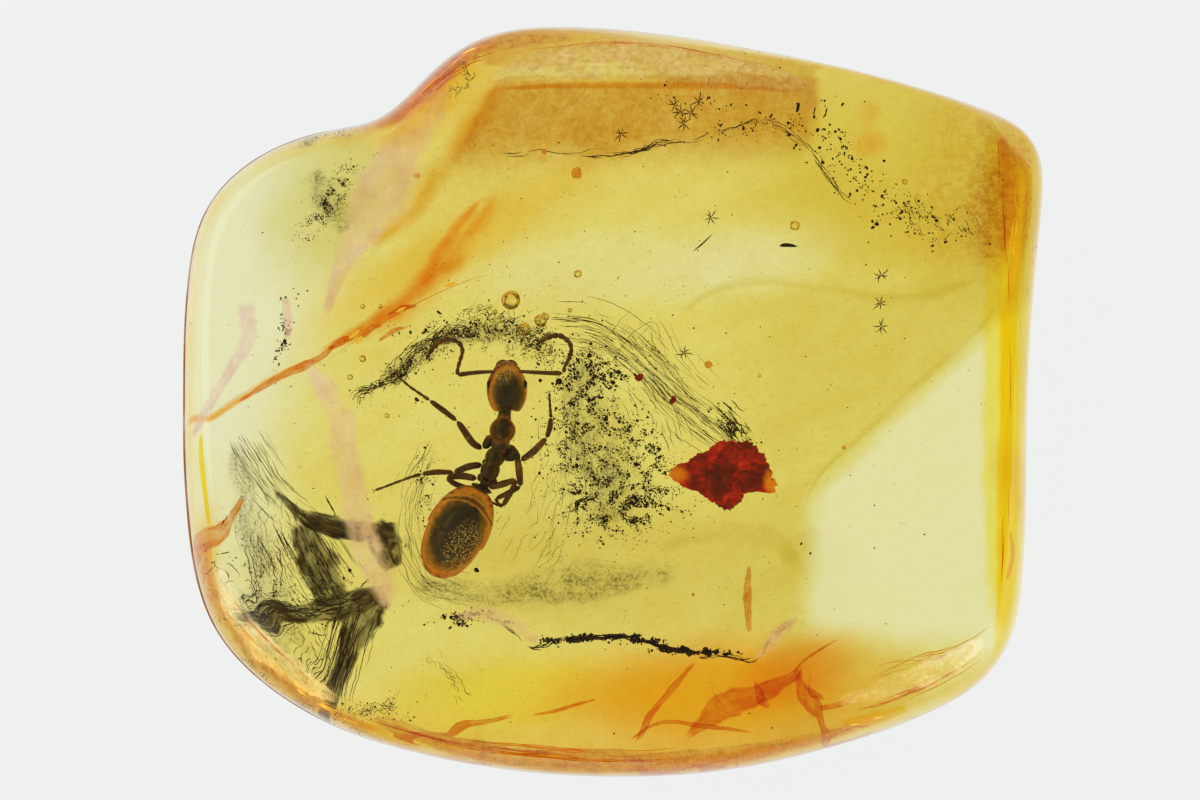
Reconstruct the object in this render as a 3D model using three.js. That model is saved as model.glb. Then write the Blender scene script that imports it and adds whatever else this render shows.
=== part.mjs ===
// A hand-polished tablet of fossil tree resin with an insect sealed inside, lying on its flat underside.
// Millimetres, +Z up, origin on the resting face, under the middle of the outline.
// The tablet is one solid: a flat underside, a rounded edge that is widest below half height, and a
// gently domed top that is thinner on the left. The insect and the other inclusions are sealed in the
// resin and aren't separate solids.
import * as THREE from "three";

const LENGTH = 20; // across X
const MID_THICKNESS = 5.7; // at the origin
const TOP_SLOPE = 0.055; // rise of the top per millimetre towards +X
const DOME_DROP = 0.45; // fall of the top from the middle to DOME_REACH
const DOME_REACH = 9;
const RIPPLE_HEIGHT = 0.045; // unevenness left by hand polishing
const RIPPLE_LENGTH = 7;

const EQUATOR_SHARE = 0.42; // height of the widest section, as a share of the thickness there
// 1 is an elliptical edge, less is squarer.
const UNDER_SQUARENESS = 0.62;
const TOP_SQUARENESS = 0.74;
// How far the rounded edge reaches in, round the outline: degrees anticlockwise from +X, then the
// reach of the underside's rounding and of the top's.
const EDGE_REACHES = [
  [0, 1.0, 0.7],
  [32, 1.5, 0.9],
  [55, 0.55, 0.7],
  [84, 0.6, 1.1],
  [108, 1.2, 0.9],
  [122, 1.25, 0.8],
  [133, 0.8, 0.8],
  [145, 0.35, 0.9],
  [180, 0.4, 1.1],
  [205, 0.9, 1.3],
  [220, 1.2, 1.3],
  [240, 1.3, 1.0],
  [262, 1.1, 0.8],
  [290, 0.8, 0.8],
  [310, 1.4, 1.1],
  [330, 1.3, 1.0],
];

// Steps of the surface: columns round the outline, and rings from the middle of the underside to the
// middle of the top.
const COLUMNS = 112;
const FLAT_RINGS = 1;
const UNDER_RINGS = 7;
const TOP_EDGE_RINGS = 8;
const DOME_RINGS = 6;
const RINGS = FLAT_RINGS + UNDER_RINGS + TOP_EDGE_RINGS + DOME_RINGS;

// Widest outline, seen from above and anticlockwise from the middle of the right side. The upper left
// has a shallow waist where the pebble's lobe meets its body.
const OUTLINE = [
  [9.6, -0.4],
  [9.66, 1.2],
  [9.82, 3.1],
  [9.99, 4.8],
  [9.96, 5.7],
  [9.6, 6.3],
  [8.6, 6.8],
  [6.3, 7.52],
  [3.5, 8.16],
  [1.3, 8.56],
  [-0.8, 8.74],
  [-2.5, 8.66],
  [-3.55, 8.25],
  [-4.4, 7.52],
  [-5.1, 6.82],
  [-5.75, 6.46],
  [-6.7, 6.32],
  [-8.1, 5.82],
  [-9.15, 5.0],
  [-9.7, 4.0],
  [-9.95, 2.4],
  [-10.02, 0.2],
  [-9.97, -2.2],
  [-9.72, -4.2],
  [-9.2, -5.5],
  [-8.1, -6.65],
  [-6.4, -7.65],
  [-4.2, -8.3],
  [-1.9, -8.65],
  [0.4, -8.74],
  [2.8, -8.55],
  [5.2, -8.02],
  [7.2, -7.32],
  [8.6, -6.5],
  [9.33, -5.35],
  [9.56, -3.6],
  [9.6, -2.0],
];

// The outline as a smooth closed curve, scaled to LENGTH and moved so that its box is centred.
function outlineCurve() {
  const through = (points) =>
    new THREE.CatmullRomCurve3(points, true, "centripetal");
  const drawn = OUTLINE.map(([x, y]) => new THREE.Vector3(x, y, 0));
  const box = new THREE.Box3().setFromPoints(
    through(drawn).getSpacedPoints(COLUMNS),
  );
  const middle = box.getCenter(new THREE.Vector3());
  const scale = LENGTH / (box.max.x - box.min.x);
  return through(drawn.map((p) => p.sub(middle).multiplyScalar(scale)));
}

// Height of the top face above the resting face.
function topHeight(x, y) {
  const dome = DOME_DROP * ((x * x + y * y) / (DOME_REACH * DOME_REACH));
  const turn = (2 * Math.PI) / RIPPLE_LENGTH;
  const ripple = RIPPLE_HEIGHT * Math.sin(turn * x) * Math.cos(turn * y * 0.8);
  return MID_THICKNESS + TOP_SLOPE * x - dome + ripple;
}

// How far the rounded edge reaches in at a point of the outline, under and on top, eased between the
// two nearest rows of EDGE_REACHES.
function edgeReaches(rim) {
  const degrees = (Math.atan2(rim.y, rim.x) * 180) / Math.PI;
  const compass = (degrees + 360) % 360;
  const after = EDGE_REACHES.findIndex(([from]) => from > compass);
  const next = EDGE_REACHES[Math.max(after, 0)];
  const last = EDGE_REACHES.at(after < 0 ? -1 : after - 1);
  const span = (next[0] - last[0] + 360) % 360;
  const share = THREE.MathUtils.smoothstep((compass - last[0]) / span, 0, 1);
  const [under, top] = [1, 2].map((i) => THREE.MathUtils.lerp(last[i], next[i], share));
  return { under, top };
}

// The place of a ring on the column under a rim point. Rings count up from the middle of the
// underside, past the widest section, to the middle of the top.
function placeOnColumn(rim, ring) {
  const reach = rim.length();
  const edge = edgeReaches(rim);
  const equator = EQUATOR_SHARE * topHeight(rim.x, rim.y);
  const at = (inset, heightAt) => {
    const place = rim.clone().multiplyScalar(1 - inset / reach);
    return place.setZ(heightAt(place));
  };
  if (ring <= FLAT_RINGS) {
    const share = ring / FLAT_RINGS;
    return at(reach - (reach - edge.under) * share, () => 0);
  }
  if (ring <= FLAT_RINGS + UNDER_RINGS) {
    const turn = ((ring - FLAT_RINGS) / UNDER_RINGS) * (Math.PI / 2);
    const outwards = Math.sin(turn) ** UNDER_SQUARENESS;
    const downwards = Math.cos(turn) ** UNDER_SQUARENESS;
    return at(edge.under * (1 - outwards), () => equator * (1 - downwards));
  }
  const above = ring - FLAT_RINGS - UNDER_RINGS;
  if (above <= TOP_EDGE_RINGS) {
    const turn = (above / TOP_EDGE_RINGS) * (Math.PI / 2);
    const inwards = 1 - Math.cos(turn) ** TOP_SQUARENESS;
    const upwards = Math.sin(turn) ** TOP_SQUARENESS;
    return at(edge.top * inwards, (p) => equator + (topHeight(p.x, p.y) - equator) * upwards);
  }
  const share = (above - TOP_EDGE_RINGS) / DOME_RINGS;
  return at(edge.top + (reach - edge.top) * share, (p) => topHeight(p.x, p.y));
}

// The tablet: a sphere's grid of columns and rings, with each crossing moved to its place. The sphere
// lists its crossings ring by ring from the top, and each ring's last column is its first again.
function tabletGeometry() {
  const curve = outlineCurve();
  const geometry = new THREE.SphereGeometry(1, COLUMNS, RINGS);
  const { position } = geometry.attributes;
  const perRing = COLUMNS + 1;
  for (let i = 0; i < position.count; i += 1) {
    const ring = RINGS - Math.floor(i / perRing);
    const rim = curve.getPointAt(((i % perRing) % COLUMNS) / COLUMNS);
    const place = placeOnColumn(rim, ring);
    position.setXYZ(i, place.x, place.y, place.z);
  }
  geometry.computeVertexNormals();
  return geometry;
}

const resin = new THREE.MeshStandardMaterial({
  color: 0xe0b62c,
  roughness: 0.08,
  metalness: 0,
  transparent: true,
  opacity: 0.6,
});

const tablet = new THREE.Mesh(tabletGeometry(), resin);
tablet.name = "amber_tablet";

const insectInAmber = new THREE.Group();
insectInAmber.add(tablet);

export default insectInAmber;
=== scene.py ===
"""Insect in amber: a hand-polished tablet of clear yellow amber with a worker ant sealed in it."""
import math
import random

import bmesh
import bpy
import numpy as np
from mathutils import Matrix, Vector, noise
from mathutils.bvhtree import BVHTree


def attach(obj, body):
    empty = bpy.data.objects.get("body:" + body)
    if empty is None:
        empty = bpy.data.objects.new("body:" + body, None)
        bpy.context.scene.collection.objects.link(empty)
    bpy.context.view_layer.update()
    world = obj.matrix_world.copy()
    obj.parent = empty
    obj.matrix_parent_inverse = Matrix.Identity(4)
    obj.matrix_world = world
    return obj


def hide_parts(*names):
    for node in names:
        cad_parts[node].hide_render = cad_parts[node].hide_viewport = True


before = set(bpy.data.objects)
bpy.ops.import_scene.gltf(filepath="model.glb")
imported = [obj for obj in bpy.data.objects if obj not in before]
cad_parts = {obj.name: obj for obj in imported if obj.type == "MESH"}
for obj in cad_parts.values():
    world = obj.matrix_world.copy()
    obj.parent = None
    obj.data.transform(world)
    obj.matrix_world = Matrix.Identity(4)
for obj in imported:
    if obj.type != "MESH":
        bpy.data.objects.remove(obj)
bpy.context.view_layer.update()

MM = 0.001


# ---- The tablet ------------------------------------------------------------------------------------
# One lump of Baltic amber, sawn flat underneath and polished by hand to a low pillow with a rolled
# rim. Clear resin, with a thin honey-brown weathered skin left along the rim and older, browner
# flows of resin in places.

STONE_WELD = 0.0005
STONE_ROUNDS = 2  # subdivisions that round the faceted solid off
STONE_VOXEL = 0.105
STONE_SMOOTHING = 5
HAND_WAVES = 0.012  # unevenness that polishing leaves, in mm
HAND_WAVES_PER_METRE = 420
# Each hand-polished flat on the rim: compass direction, rise above the table, how deep it cuts.
POLISHED_FLATS = (
    (222, 50, 0.30), (238, 62, 0.20), (262, 44, 0.10), (300, 50, 0.08), (322, 58, 0.08),
    (80, 62, 0.26), (97, 50, 0.20), (40, 44, 0.12),
)
# Width of the brown line that the crust leaves round the rim: compass direction and mm.
RIM_WIDTHS = (
    (0, 0.14), (25, 0.14), (36, 0.18), (50, 0.14), (80, 0.16), (95, 0.30), (108, 0.42), (118, 0.66),
    (130, 0.50), (138, 0.30), (150, 0.22), (175, 0.20), (192, 0.16), (205, 0.30), (220, 0.46),
    (240, 0.50), (262, 0.46), (285, 0.34), (305, 0.30), (330, 0.20),
)
AMBER_INDEX = 1.54
AMBER_TINT = (0.988, 0.962, 0.42)
AMBER_DENSITY = 185.0


class Wire:
    """A shader socket that takes part in Python sums: each operator adds a Math node."""

    def __init__(self, finish, socket):
        self.finish, self.socket = finish, socket

    def maths(self, operation, *values):
        return self.finish.node("ShaderNodeMath", {"operation": operation}, dict(enumerate(values)))

    def __add__(self, other):
        return self.maths("ADD", self, other)

    def __sub__(self, other):
        return self.maths("SUBTRACT", self, other)

    def __rsub__(self, other):
        return self.maths("SUBTRACT", other, self)

    def __mul__(self, other):
        return self.maths("MULTIPLY", self, other)

    def __pow__(self, other):
        return self.maths("POWER", self, other)

    __radd__, __rmul__ = __add__, __mul__

    def least(self, other):
        return self.maths("MINIMUM", self, other)

    def size(self):
        return self.maths("ABSOLUTE", self)

    def step(self, low, high):
        """0 below low and 1 above high, with a smooth rise; a low above high turns it round."""
        if low > high:
            return 1 - self.step(high, low)
        return self.finish.node(
            "ShaderNodeMapRange", {"interpolation_type": "SMOOTHSTEP"},
            {"Value": self, "From Min": low, "From Max": high})


class Finish:
    """One procedural material, built node by node."""

    def __init__(self, name):
        self.material = bpy.data.materials.new(name)
        self.material.use_nodes = True
        self.tree = self.material.node_tree
        self.tree.nodes.clear()

    def node(self, kind, settings=None, inputs=None, output=0):
        """Adds a node: its settings first, then the values or links of its sockets."""
        made = self.tree.nodes.new(kind)
        for name, value in (settings or {}).items():
            if name == "stops":
                while len(made.color_ramp.elements) < len(value):
                    made.color_ramp.elements.new(0.5)
                for element, (position, colour) in zip(made.color_ramp.elements, value):
                    element.position, element.color = position, (*colour, 1)
            else:
                setattr(made, name, value)
        for name, value in (inputs or {}).items():
            if isinstance(value, Wire):
                self.tree.links.new(value.socket, made.inputs[name])
            elif made.inputs[name].type == "RGBA":
                made.inputs[name].default_value = (*value, 1)
            else:
                made.inputs[name].default_value = value
        return Wire(self, made.outputs[output])

    def place(self, centre=(0, 0, 0), turn=0.0, unit=(1, 1, 1)):
        """Object coordinates about a centre, turned about +Z in degrees, in units of so many mm."""
        here = self.node("ShaderNodeTexCoord", output="Object")
        return self.node("ShaderNodeMapping", {"vector_type": "TEXTURE"}, {
            "Vector": here, "Location": tuple(c * MM for c in centre),
            "Rotation": (0, 0, math.radians(turn)), "Scale": tuple(u * MM for u in unit)})

    def axes(self, vector):
        return [self.node("ShaderNodeSeparateXYZ", {}, {0: vector}, i) for i in range(3)]

    def attribute(self, name):
        return self.node("ShaderNodeAttribute", {"attribute_name": name}, {}, "Fac")

    def noise(self, vector, scale, detail=3.0, roughness=0.55, distortion=0.0):
        return self.node("ShaderNodeTexNoise", {}, {
            "Vector": vector, "Scale": scale, "Detail": detail, "Roughness": roughness,
            "Distortion": distortion})

    def oval(self, centre, half, turn=0.0, soft=0.3, wobble=0.0, grain=0.8):
        """1 inside an upright oval column and 0 outside, over a soft and wobbly edge."""
        local = self.place((*centre, 0), turn, (*half, 1e6))
        far = self.node("ShaderNodeVectorMath", {"operation": "LENGTH"}, {0: local}, "Value")
        if wobble:
            far = far + (self.noise(self.place(), grain) - 0.5) * wobble
        return far.step(1 + soft, 1 - soft)

    def side(self, start, end, soft=0.3, wobble=0.0, grain=0.5, detail=3.0):
        """1 to the left of a line in plan and 0 to its right, over a soft and wobbly edge, in mm."""
        x, y, _ = self.axes(self.place())
        run = Vector(end) - Vector(start)
        run.normalize()
        far = (y - start[1]) * run.x - (x - start[0]) * run.y
        if wobble:
            far = far + (self.noise(self.place(), grain, detail) - 0.5) * wobble
        return far.step(-soft, soft)

    def blend(self, share, first, second):
        return self.node("ShaderNodeMix", {"data_type": "RGBA"}, {0: share, 6: first, 7: second}, 2)

    def tint(self, colour, share, tinted):
        """A colour multiplied by a tint, as far as share says."""
        return self.node("ShaderNodeMix", {"data_type": "RGBA", "blend_type": "MULTIPLY"},
                         {0: share, 6: colour, 7: tinted}, 2)

    def ramp(self, value, *stops):
        return self.node("ShaderNodeValToRGB", {"stops": stops}, {0: value})

    def bump(self, height, strength, distance):
        return self.node("ShaderNodeBump", {}, {
            "Height": height, "Strength": strength, "Distance": distance * MM})

    def shader(self, **values):
        names = {name: name.replace("_", " ") for name in values}
        return self.node("ShaderNodeBsdfPrincipled", {}, {names[n]: v for n, v in values.items()})

    def filtering(self, share, colour):
        """A film that lets light through, coloured as far as share says."""
        clear = self.node("ShaderNodeBsdfTransparent", {}, {"Color": (1, 1, 1)})
        dyed = self.node("ShaderNodeBsdfTransparent", {}, {"Color": colour})
        return self.node("ShaderNodeMixShader", {}, {0: share, 1: clear, 2: dyed})

    def done(self, shader, volume=None):
        out = self.tree.nodes.new("ShaderNodeOutputMaterial")
        self.tree.links.new(shader.socket, out.inputs["Surface"])
        if volume:
            self.tree.links.new(volume.socket, out.inputs["Volume"])
        return self.material


def add_piece(name, shape, material, smooth=True):
    """Turns a finished bmesh, in metres, into a piece that rides on the stone."""
    mesh = bpy.data.meshes.new(name)
    shape.to_mesh(mesh)
    shape.free()
    mesh.polygons.foreach_set("use_smooth", [smooth] * len(mesh.polygons))
    mesh.materials.append(material)
    piece = bpy.data.objects.new(name, mesh)
    bpy.context.scene.collection.objects.link(piece)
    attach(piece, "root")
    return piece


def settle(piece):
    """Applies a piece's modifiers to its mesh."""
    graph = bpy.context.evaluated_depsgraph_get()
    settled = bpy.data.meshes.new_from_object(piece.evaluated_get(graph), depsgraph=graph)
    piece.modifiers.clear()
    piece.data = settled


def remeshed(piece, voxel, smoothing):
    """Fuses a piece's overlapping shapes to one even skin and smooths it, worked on a thousandfold."""
    piece.data.transform(Matrix.Scale(1 / MM, 4))
    skin = piece.modifiers.new("even_skin", "REMESH")
    skin.mode, skin.voxel_size, skin.use_smooth_shade = "VOXEL", voxel, True
    soften = piece.modifiers.new("soften", "SMOOTH")
    soften.factor, soften.iterations = 0.5, smoothing
    settle(piece)
    piece.data.transform(Matrix.Scale(MM, 4))


# Each stained place in the resin: centre, half sizes, turn, soft edge, wobble, strength and tint.
STAINED_PLACES = (
    ((-6.5, 4.6), (1.25, 1.8), -30, 0.5, 0.8, 1.0, (0.88, 0.84, 0.54)),
    ((-0.2, -3.7), (4.4, 1.5), -4, 0.6, 0.6, 0.8, (0.88, 0.82, 0.62)),
    ((2.6, -6.7), (3.5, 1.15), 4, 0.6, 0.5, 1.0, (1.0, 0.56, 0.06)),
    ((4.2, -6.2), (1.3, 0.6), 24, 0.5, 0.5, 0.7, (1.0, 0.62, 0.22)),
    ((-2.0, -6.7), (2.9, 0.8), 4, 0.5, 0.6, 1.0, (1.0, 0.90, 0.34)),
    ((-3.6, 3.5), (3.0, 0.55), 30, 0.7, 0.7, 0.9, (1.0, 0.80, 0.36)),
    ((6.9, 5.2), (3.6, 2.3), -14, 0.45, 0.5, 0.95, (0.92, 0.82, 0.44)),
    ((6.9, 3.6), (2.6, 1.1), -20, 0.6, 0.6, 0.5, (0.95, 0.90, 0.62)),
    ((9.2, -1.9), (0.30, 0.9), 10, 0.5, 0.8, 0.5, (0.85, 0.45, 0.15)),
    ((5.95, 5.85), (0.22, 0.26), 20, 0.7, 0.6, 0.8, (1.0, 0.60, 0.20)),
    ((-9.35, -3.9), (0.32, 1.5), -6, 0.5, 0.5, 1.0, (0.98, 0.62, 0.12)),
    ((-4.6, 7.05), (1.6, 0.40), 34, 0.5, 0.8, 1.0, (0.88, 0.52, 0.14)),
)


def resin_tints(f, here, mottled):
    """What the resin's flows let through: pale at the left and lower right, honey and brown elsewhere."""
    x, y, z = f.axes(here)
    drift = f.noise(here, 0.35, detail=2.0)
    flow = f.noise(f.place(turn=24, unit=(3.2, 0.9, 3)), 1.0, detail=3.0, distortion=0.4)
    body = (x + (drift - 0.5) * 3.0 - y * 0.28).step(-8.9, -5.9)
    pool = (f.side((9.3, 2.2), (4.5, -2.2), 0.16, 0.7, 0.4)
            * f.side((4.6, -1.2), (4.5, -6.0), 0.3, 0.6)
            * f.side((4.0, -5.2), (9.5, -5.8), 0.5, 0.8))
    bright = (f.oval((0.6, 3.1), (3.4, 0.8), 4, 0.5, 0.6) * 0.42
              + f.oval((3.4, 3.2), (2.2, 0.7), 14, 0.5, 0.6) * 0.34)
    colour = f.tint((1, 1, 1), body * (1 - pool * 0.85) * (1 - bright * 0.85), (0.98, 0.885, 0.40))
    streaks = flow.step(0.30, 0.78) * body * (1 - pool * 0.8) * (1 - bright * 0.7)
    colour = f.tint(colour, streaks * 0.75, (0.93, 0.86, 0.56))
    # A broad olive flow crosses the right-hand half.
    band = (f.side((9.0, 2.75), (1.2, 2.5), 0.30, 1.6, 0.45)
            * f.side((2.6, 3.0), (3.4, -6.0), 1.1, 1.5) * (1 - pool))
    colour = f.tint(colour, band * 0.8, (0.92, 0.89, 0.66))
    # Cloudiness, from finger-wide down to dust.
    cloud = f.noise(here, 0.8, detail=4.0, roughness=0.62, distortion=0.6).step(0.36, 0.70)
    dusty = f.noise(here, 4.5, detail=3.0, roughness=0.7).step(0.40, 0.72)
    grain = f.noise(here, 12.0, detail=2.0, roughness=0.8).step(0.44, 0.62)
    colour = f.tint(colour, cloud * 0.6 * body * (1 - pool * 0.7), (0.95, 0.89, 0.66))
    colour = f.tint(colour, dusty * 0.35 * (1 - pool * 0.6), (0.95, 0.92, 0.78))
    specks = grain * (0.12 + dusty * 0.40) * body * (1 - pool * 0.8)
    colour = f.tint(colour, specks, (0.84, 0.78, 0.52))
    # The brown flow along the top, with a straight foot, and the slope that falls away on its left.
    top = (f.side((5.2, 7.4), (-3.0, 7.35), 0.07, 0.25, 1.2)
           * f.side((-2.4, 7.5), (-4.4, 4.4), 0.12, 0.5, 0.9)
           * f.side((-4.6, 5.5), (6.0, 5.9), 0.55, 1.0, 0.8)
           * f.side((4.6, 5.0), (4.75, 8.0), 0.12, 0.4, 0.9)
           * (1 - z.step(0.2, 0.9) * z.step(4.4, 3.4) * 0.7))
    blotch = f.noise(here, 1.1, detail=4.0).step(0.25, 0.75)
    colour = f.tint(colour, top * (0.55 + blotch * 0.45), (0.83, 0.53, 0.17))
    colour = f.tint(colour, top * mottled * 0.65, (0.84, 0.66, 0.36))
    fall = (f.side((-5.4, 3.6), (4.5, 6.0), 0.9, 1.4) * f.side((-2.3, 7.6), (-5.6, 2.6), 0.2, 0.6, 0.8)
            * f.oval((-1.2, 5.2), (4.2, 1.8), 18, 0.6, 0.5))
    colour = f.tint(colour, fall * (0.35 + mottled * 0.4), (0.95, 0.82, 0.50))
    for centre, half, turn, soft, wobble, strength, tint in STAINED_PLACES:
        colour = f.tint(colour, f.oval(centre, half, turn, soft, wobble) * strength, tint)
    return colour


def amber_finish():
    f = Finish("polished_amber")
    here = f.place()
    mottled = f.noise(here, 5.0, detail=3.0, roughness=0.8).step(0.42, 0.60)
    colour = resin_tints(f, here, mottled)
    # The right edge, bright yellow below and red-brown above.
    east = f.side((8.66, -6.0), (8.74, 6.5), 0.10, 0.18, 1.4)
    colour = f.tint(colour, (1 - east) * 0.97, (1.0, 0.84, 0.06))
    rusty = f.oval((8.75, 4.5), (0.45, 1.5), -4, 0.4, 0.9) * (0.5 + mottled * 0.5)
    colour = f.tint(colour, rusty, (0.72, 0.42, 0.14))
    tanned = f.oval((8.0, 4.8), (1.1, 1.7), -10, 0.6, 0.9) * (0.2 + mottled * 0.6)
    colour = f.tint(colour, tanned, (0.86, 0.66, 0.34))
    # The crust left round the rim: a brown line at the outline, and a honey-coloured fringe inside it.
    worn = f.noise(here, 0.9, detail=4.0).step(0.3, 0.62)
    inset = f.attribute("rim") + (f.noise(here, 2.2, detail=4.0) - 0.5) * 0.8
    colour = f.tint(colour, inset.step(3.2, 0.8) * (0.45 + worn * 0.55), (1.0, 0.66, 0.07))
    colour = f.tint(colour, inset.step(1.25, 0.35) * (0.75 + worn * 0.25), (0.74, 0.38, 0.010))
    scratches = f.noise(f.place(turn=24, unit=(1.6, 0.07, 1)), 1.0, detail=3.0)
    waves = f.noise(here, 0.6, detail=2.0)
    glass = f.shader(
        Base_Color=colour, Roughness=0.0, IOR=AMBER_INDEX, Transmission_Weight=1.0,
        Normal=f.bump(waves + scratches * 0.02, 0.3, 0.05))
    inside = f.node("ShaderNodeVolumeAbsorption", {}, {"Color": AMBER_TINT, "Density": AMBER_DENSITY})
    return f.done(glass, inside)


def polish_flats(shape, flats):
    """Presses the shape against each flat, as a hand does on a polishing wheel."""
    for compass, rise, depth in flats:
        a, e = math.radians(compass), math.radians(rise)
        out = Vector((math.cos(a) * math.cos(e), math.sin(a) * math.cos(e), math.sin(e)))
        reach = max(v.co.dot(out) for v in shape.verts) - depth * MM
        for v in shape.verts:
            v.co -= out * max(0.0, v.co.dot(out) - reach)


lump = bmesh.new()
lump.from_mesh(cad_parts["amber_tablet"].data)
bmesh.ops.remove_doubles(lump, verts=lump.verts, dist=STONE_WELD * MM)
bmesh.ops.join_triangles(lump, faces=lump.faces, angle_face_threshold=math.pi,
                         angle_shape_threshold=math.pi)
stone = add_piece("amber_stone", lump, amber_finish())
rounds = stone.modifiers.new("rounds", "SUBSURF")
rounds.levels = rounds.render_levels = STONE_ROUNDS
settle(stone)
lump = bmesh.new()
lump.from_mesh(stone.data)
polish_flats(lump, POLISHED_FLATS)
lump.to_mesh(stone.data)
lump.free()
remeshed(stone, STONE_VOXEL, STONE_SMOOTHING)
lump = bmesh.new()
lump.from_mesh(stone.data)
lump.normal_update()
waves = [(v, v.normal.copy()) for v in lump.verts if v.normal.z > -0.9]
for v, out in waves:
    v.co += out * (noise.noise(v.co * HAND_WAVES_PER_METRE) - 0.2) * HAND_WAVES * MM
lump.to_mesh(stone.data)
skin_tree = BVHTree.FromBMesh(lump)
lump.free()

# How far in from the outline each point is, against the rim's width there: the finish reads it.
spots = np.array([v.co[:2] for v in stone.data.vertices]) / MM
compass = np.degrees(np.arctan2(spots[:, 1], spots[:, 0])) % 360
reach = np.hypot(spots[:, 0], spots[:, 1])
outline = np.zeros(360)
np.maximum.at(outline, np.round(compass).astype(int) % 360, reach)
widths = np.interp(compass, *zip(*RIM_WIDTHS), period=360)
inset = (np.interp(compass, np.arange(360), outline, period=360) - reach) / widths
stone.data.attributes.new("rim", "FLOAT", "POINT").data.foreach_set("value", inset)
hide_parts("amber_tablet")


# ---- The ant ---------------------------------------------------------------------------------------
# A worker ant about 5.5 mm long, lying back uppermost in mid-depth. Dark chitin, with the light through
# its thin edges painted: dark over the thick middle, clear orange-brown at the edge, and a faint glow.

ANT_HEIGHT = 3.9  # the height its parts are measured from
HEAD = (-2.36, 0.29)
GASTER = (-3.50, -2.98)
GASTER_TURN = -28.5


def smooth_path(points, count):
    """Evenly spaced points on a smooth curve through the given ones."""
    stops = [Vector(p) for p in points]
    stops = [2 * stops[0] - stops[1], *stops, 2 * stops[-1] - stops[-2]]
    fine = []
    for a, b, c, d in zip(stops, stops[1:], stops[2:], stops[3:]):
        for i in range(24):
            t = i / 24
            fine.append(0.5 * (2 * b + (c - a) * t + (2 * a - 5 * b + 4 * c - d) * t ** 2
                               + (3 * b - a - 3 * c + d) * t ** 3))
    fine.append(stops[-2])
    run = np.cumsum([0.0] + [(q - p).length for p, q in zip(fine, fine[1:])])
    wanted = np.linspace(0, run[-1], count)
    table = np.array([tuple(p) for p in fine])
    return [Vector(p) for p in zip(*(np.interp(wanted, run, table[:, i]) for i in range(3)))]


def in_ant(points):
    """Points whose heights are measured from the ant's middle."""
    return [(x, y, ANT_HEIGHT + z) for x, y, z in points]


def frames_along(path):
    """Each point's side and upper directions, carried along the path without twisting."""
    ahead = [(q - p).normalized() for p, q in zip(path, path[1:])]
    ahead.append(ahead[-1])
    up = Vector((0, 0, 1)) if abs(ahead[0].z) < 0.9 else Vector((0, 1, 0))
    frames = []
    for direction in ahead:
        up = (up - direction * up.dot(direction)).normalized()
        frames.append((direction.cross(up), up))
    return frames


def add_limb(shape, points, radii, rings=16, sides=10, flat=1.0, beads=0, pinch=0.25):
    """A closed tapering rod along a path: a sphere whose rings are moved onto the path. Beads pinch
    it into joints."""
    path = smooth_path(points, rings + 1)
    frames = frames_along(path)
    made = bmesh.ops.create_uvsphere(shape, u_segments=sides, v_segments=rings, radius=1.0)["verts"]
    for v in made:
        share = math.acos(max(-1.0, min(1.0, v.co.z))) / math.pi
        index = round(share * rings)
        around = math.atan2(v.co.y, v.co.x)
        radius = float(np.interp(share, np.linspace(0, 1, len(radii)), radii))
        if beads:
            radius *= 1 - pinch * (0.5 + 0.5 * math.cos(2 * math.pi * share * beads)) ** 3
        end = min(share, 1 - share) * rings
        radius *= 0.0 if end < 0.5 else 0.72 if end < 1.5 else 1.0
        side, up = frames[index]
        v.co = (path[index] + side * math.cos(around) * radius
                + up * math.sin(around) * radius * flat) * MM
    return made


def add_egg(shape, centre, half, turn=0.0, pitch=0.0, segments=28, rings=18):
    """An ellipsoid: half sizes across, along and up, turned about +Z, then pitched."""
    scaled = Matrix.Translation(Vector(centre) * MM) @ Matrix.Rotation(math.radians(turn), 4, "Z") \
        @ Matrix.Rotation(math.radians(pitch), 4, "X") \
        @ Matrix.Diagonal((half[0] * MM, half[1] * MM, half[2] * MM, 1))
    return bmesh.ops.create_uvsphere(
        shape, u_segments=segments, v_segments=rings, radius=1.0, matrix=scaled)["verts"]


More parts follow.
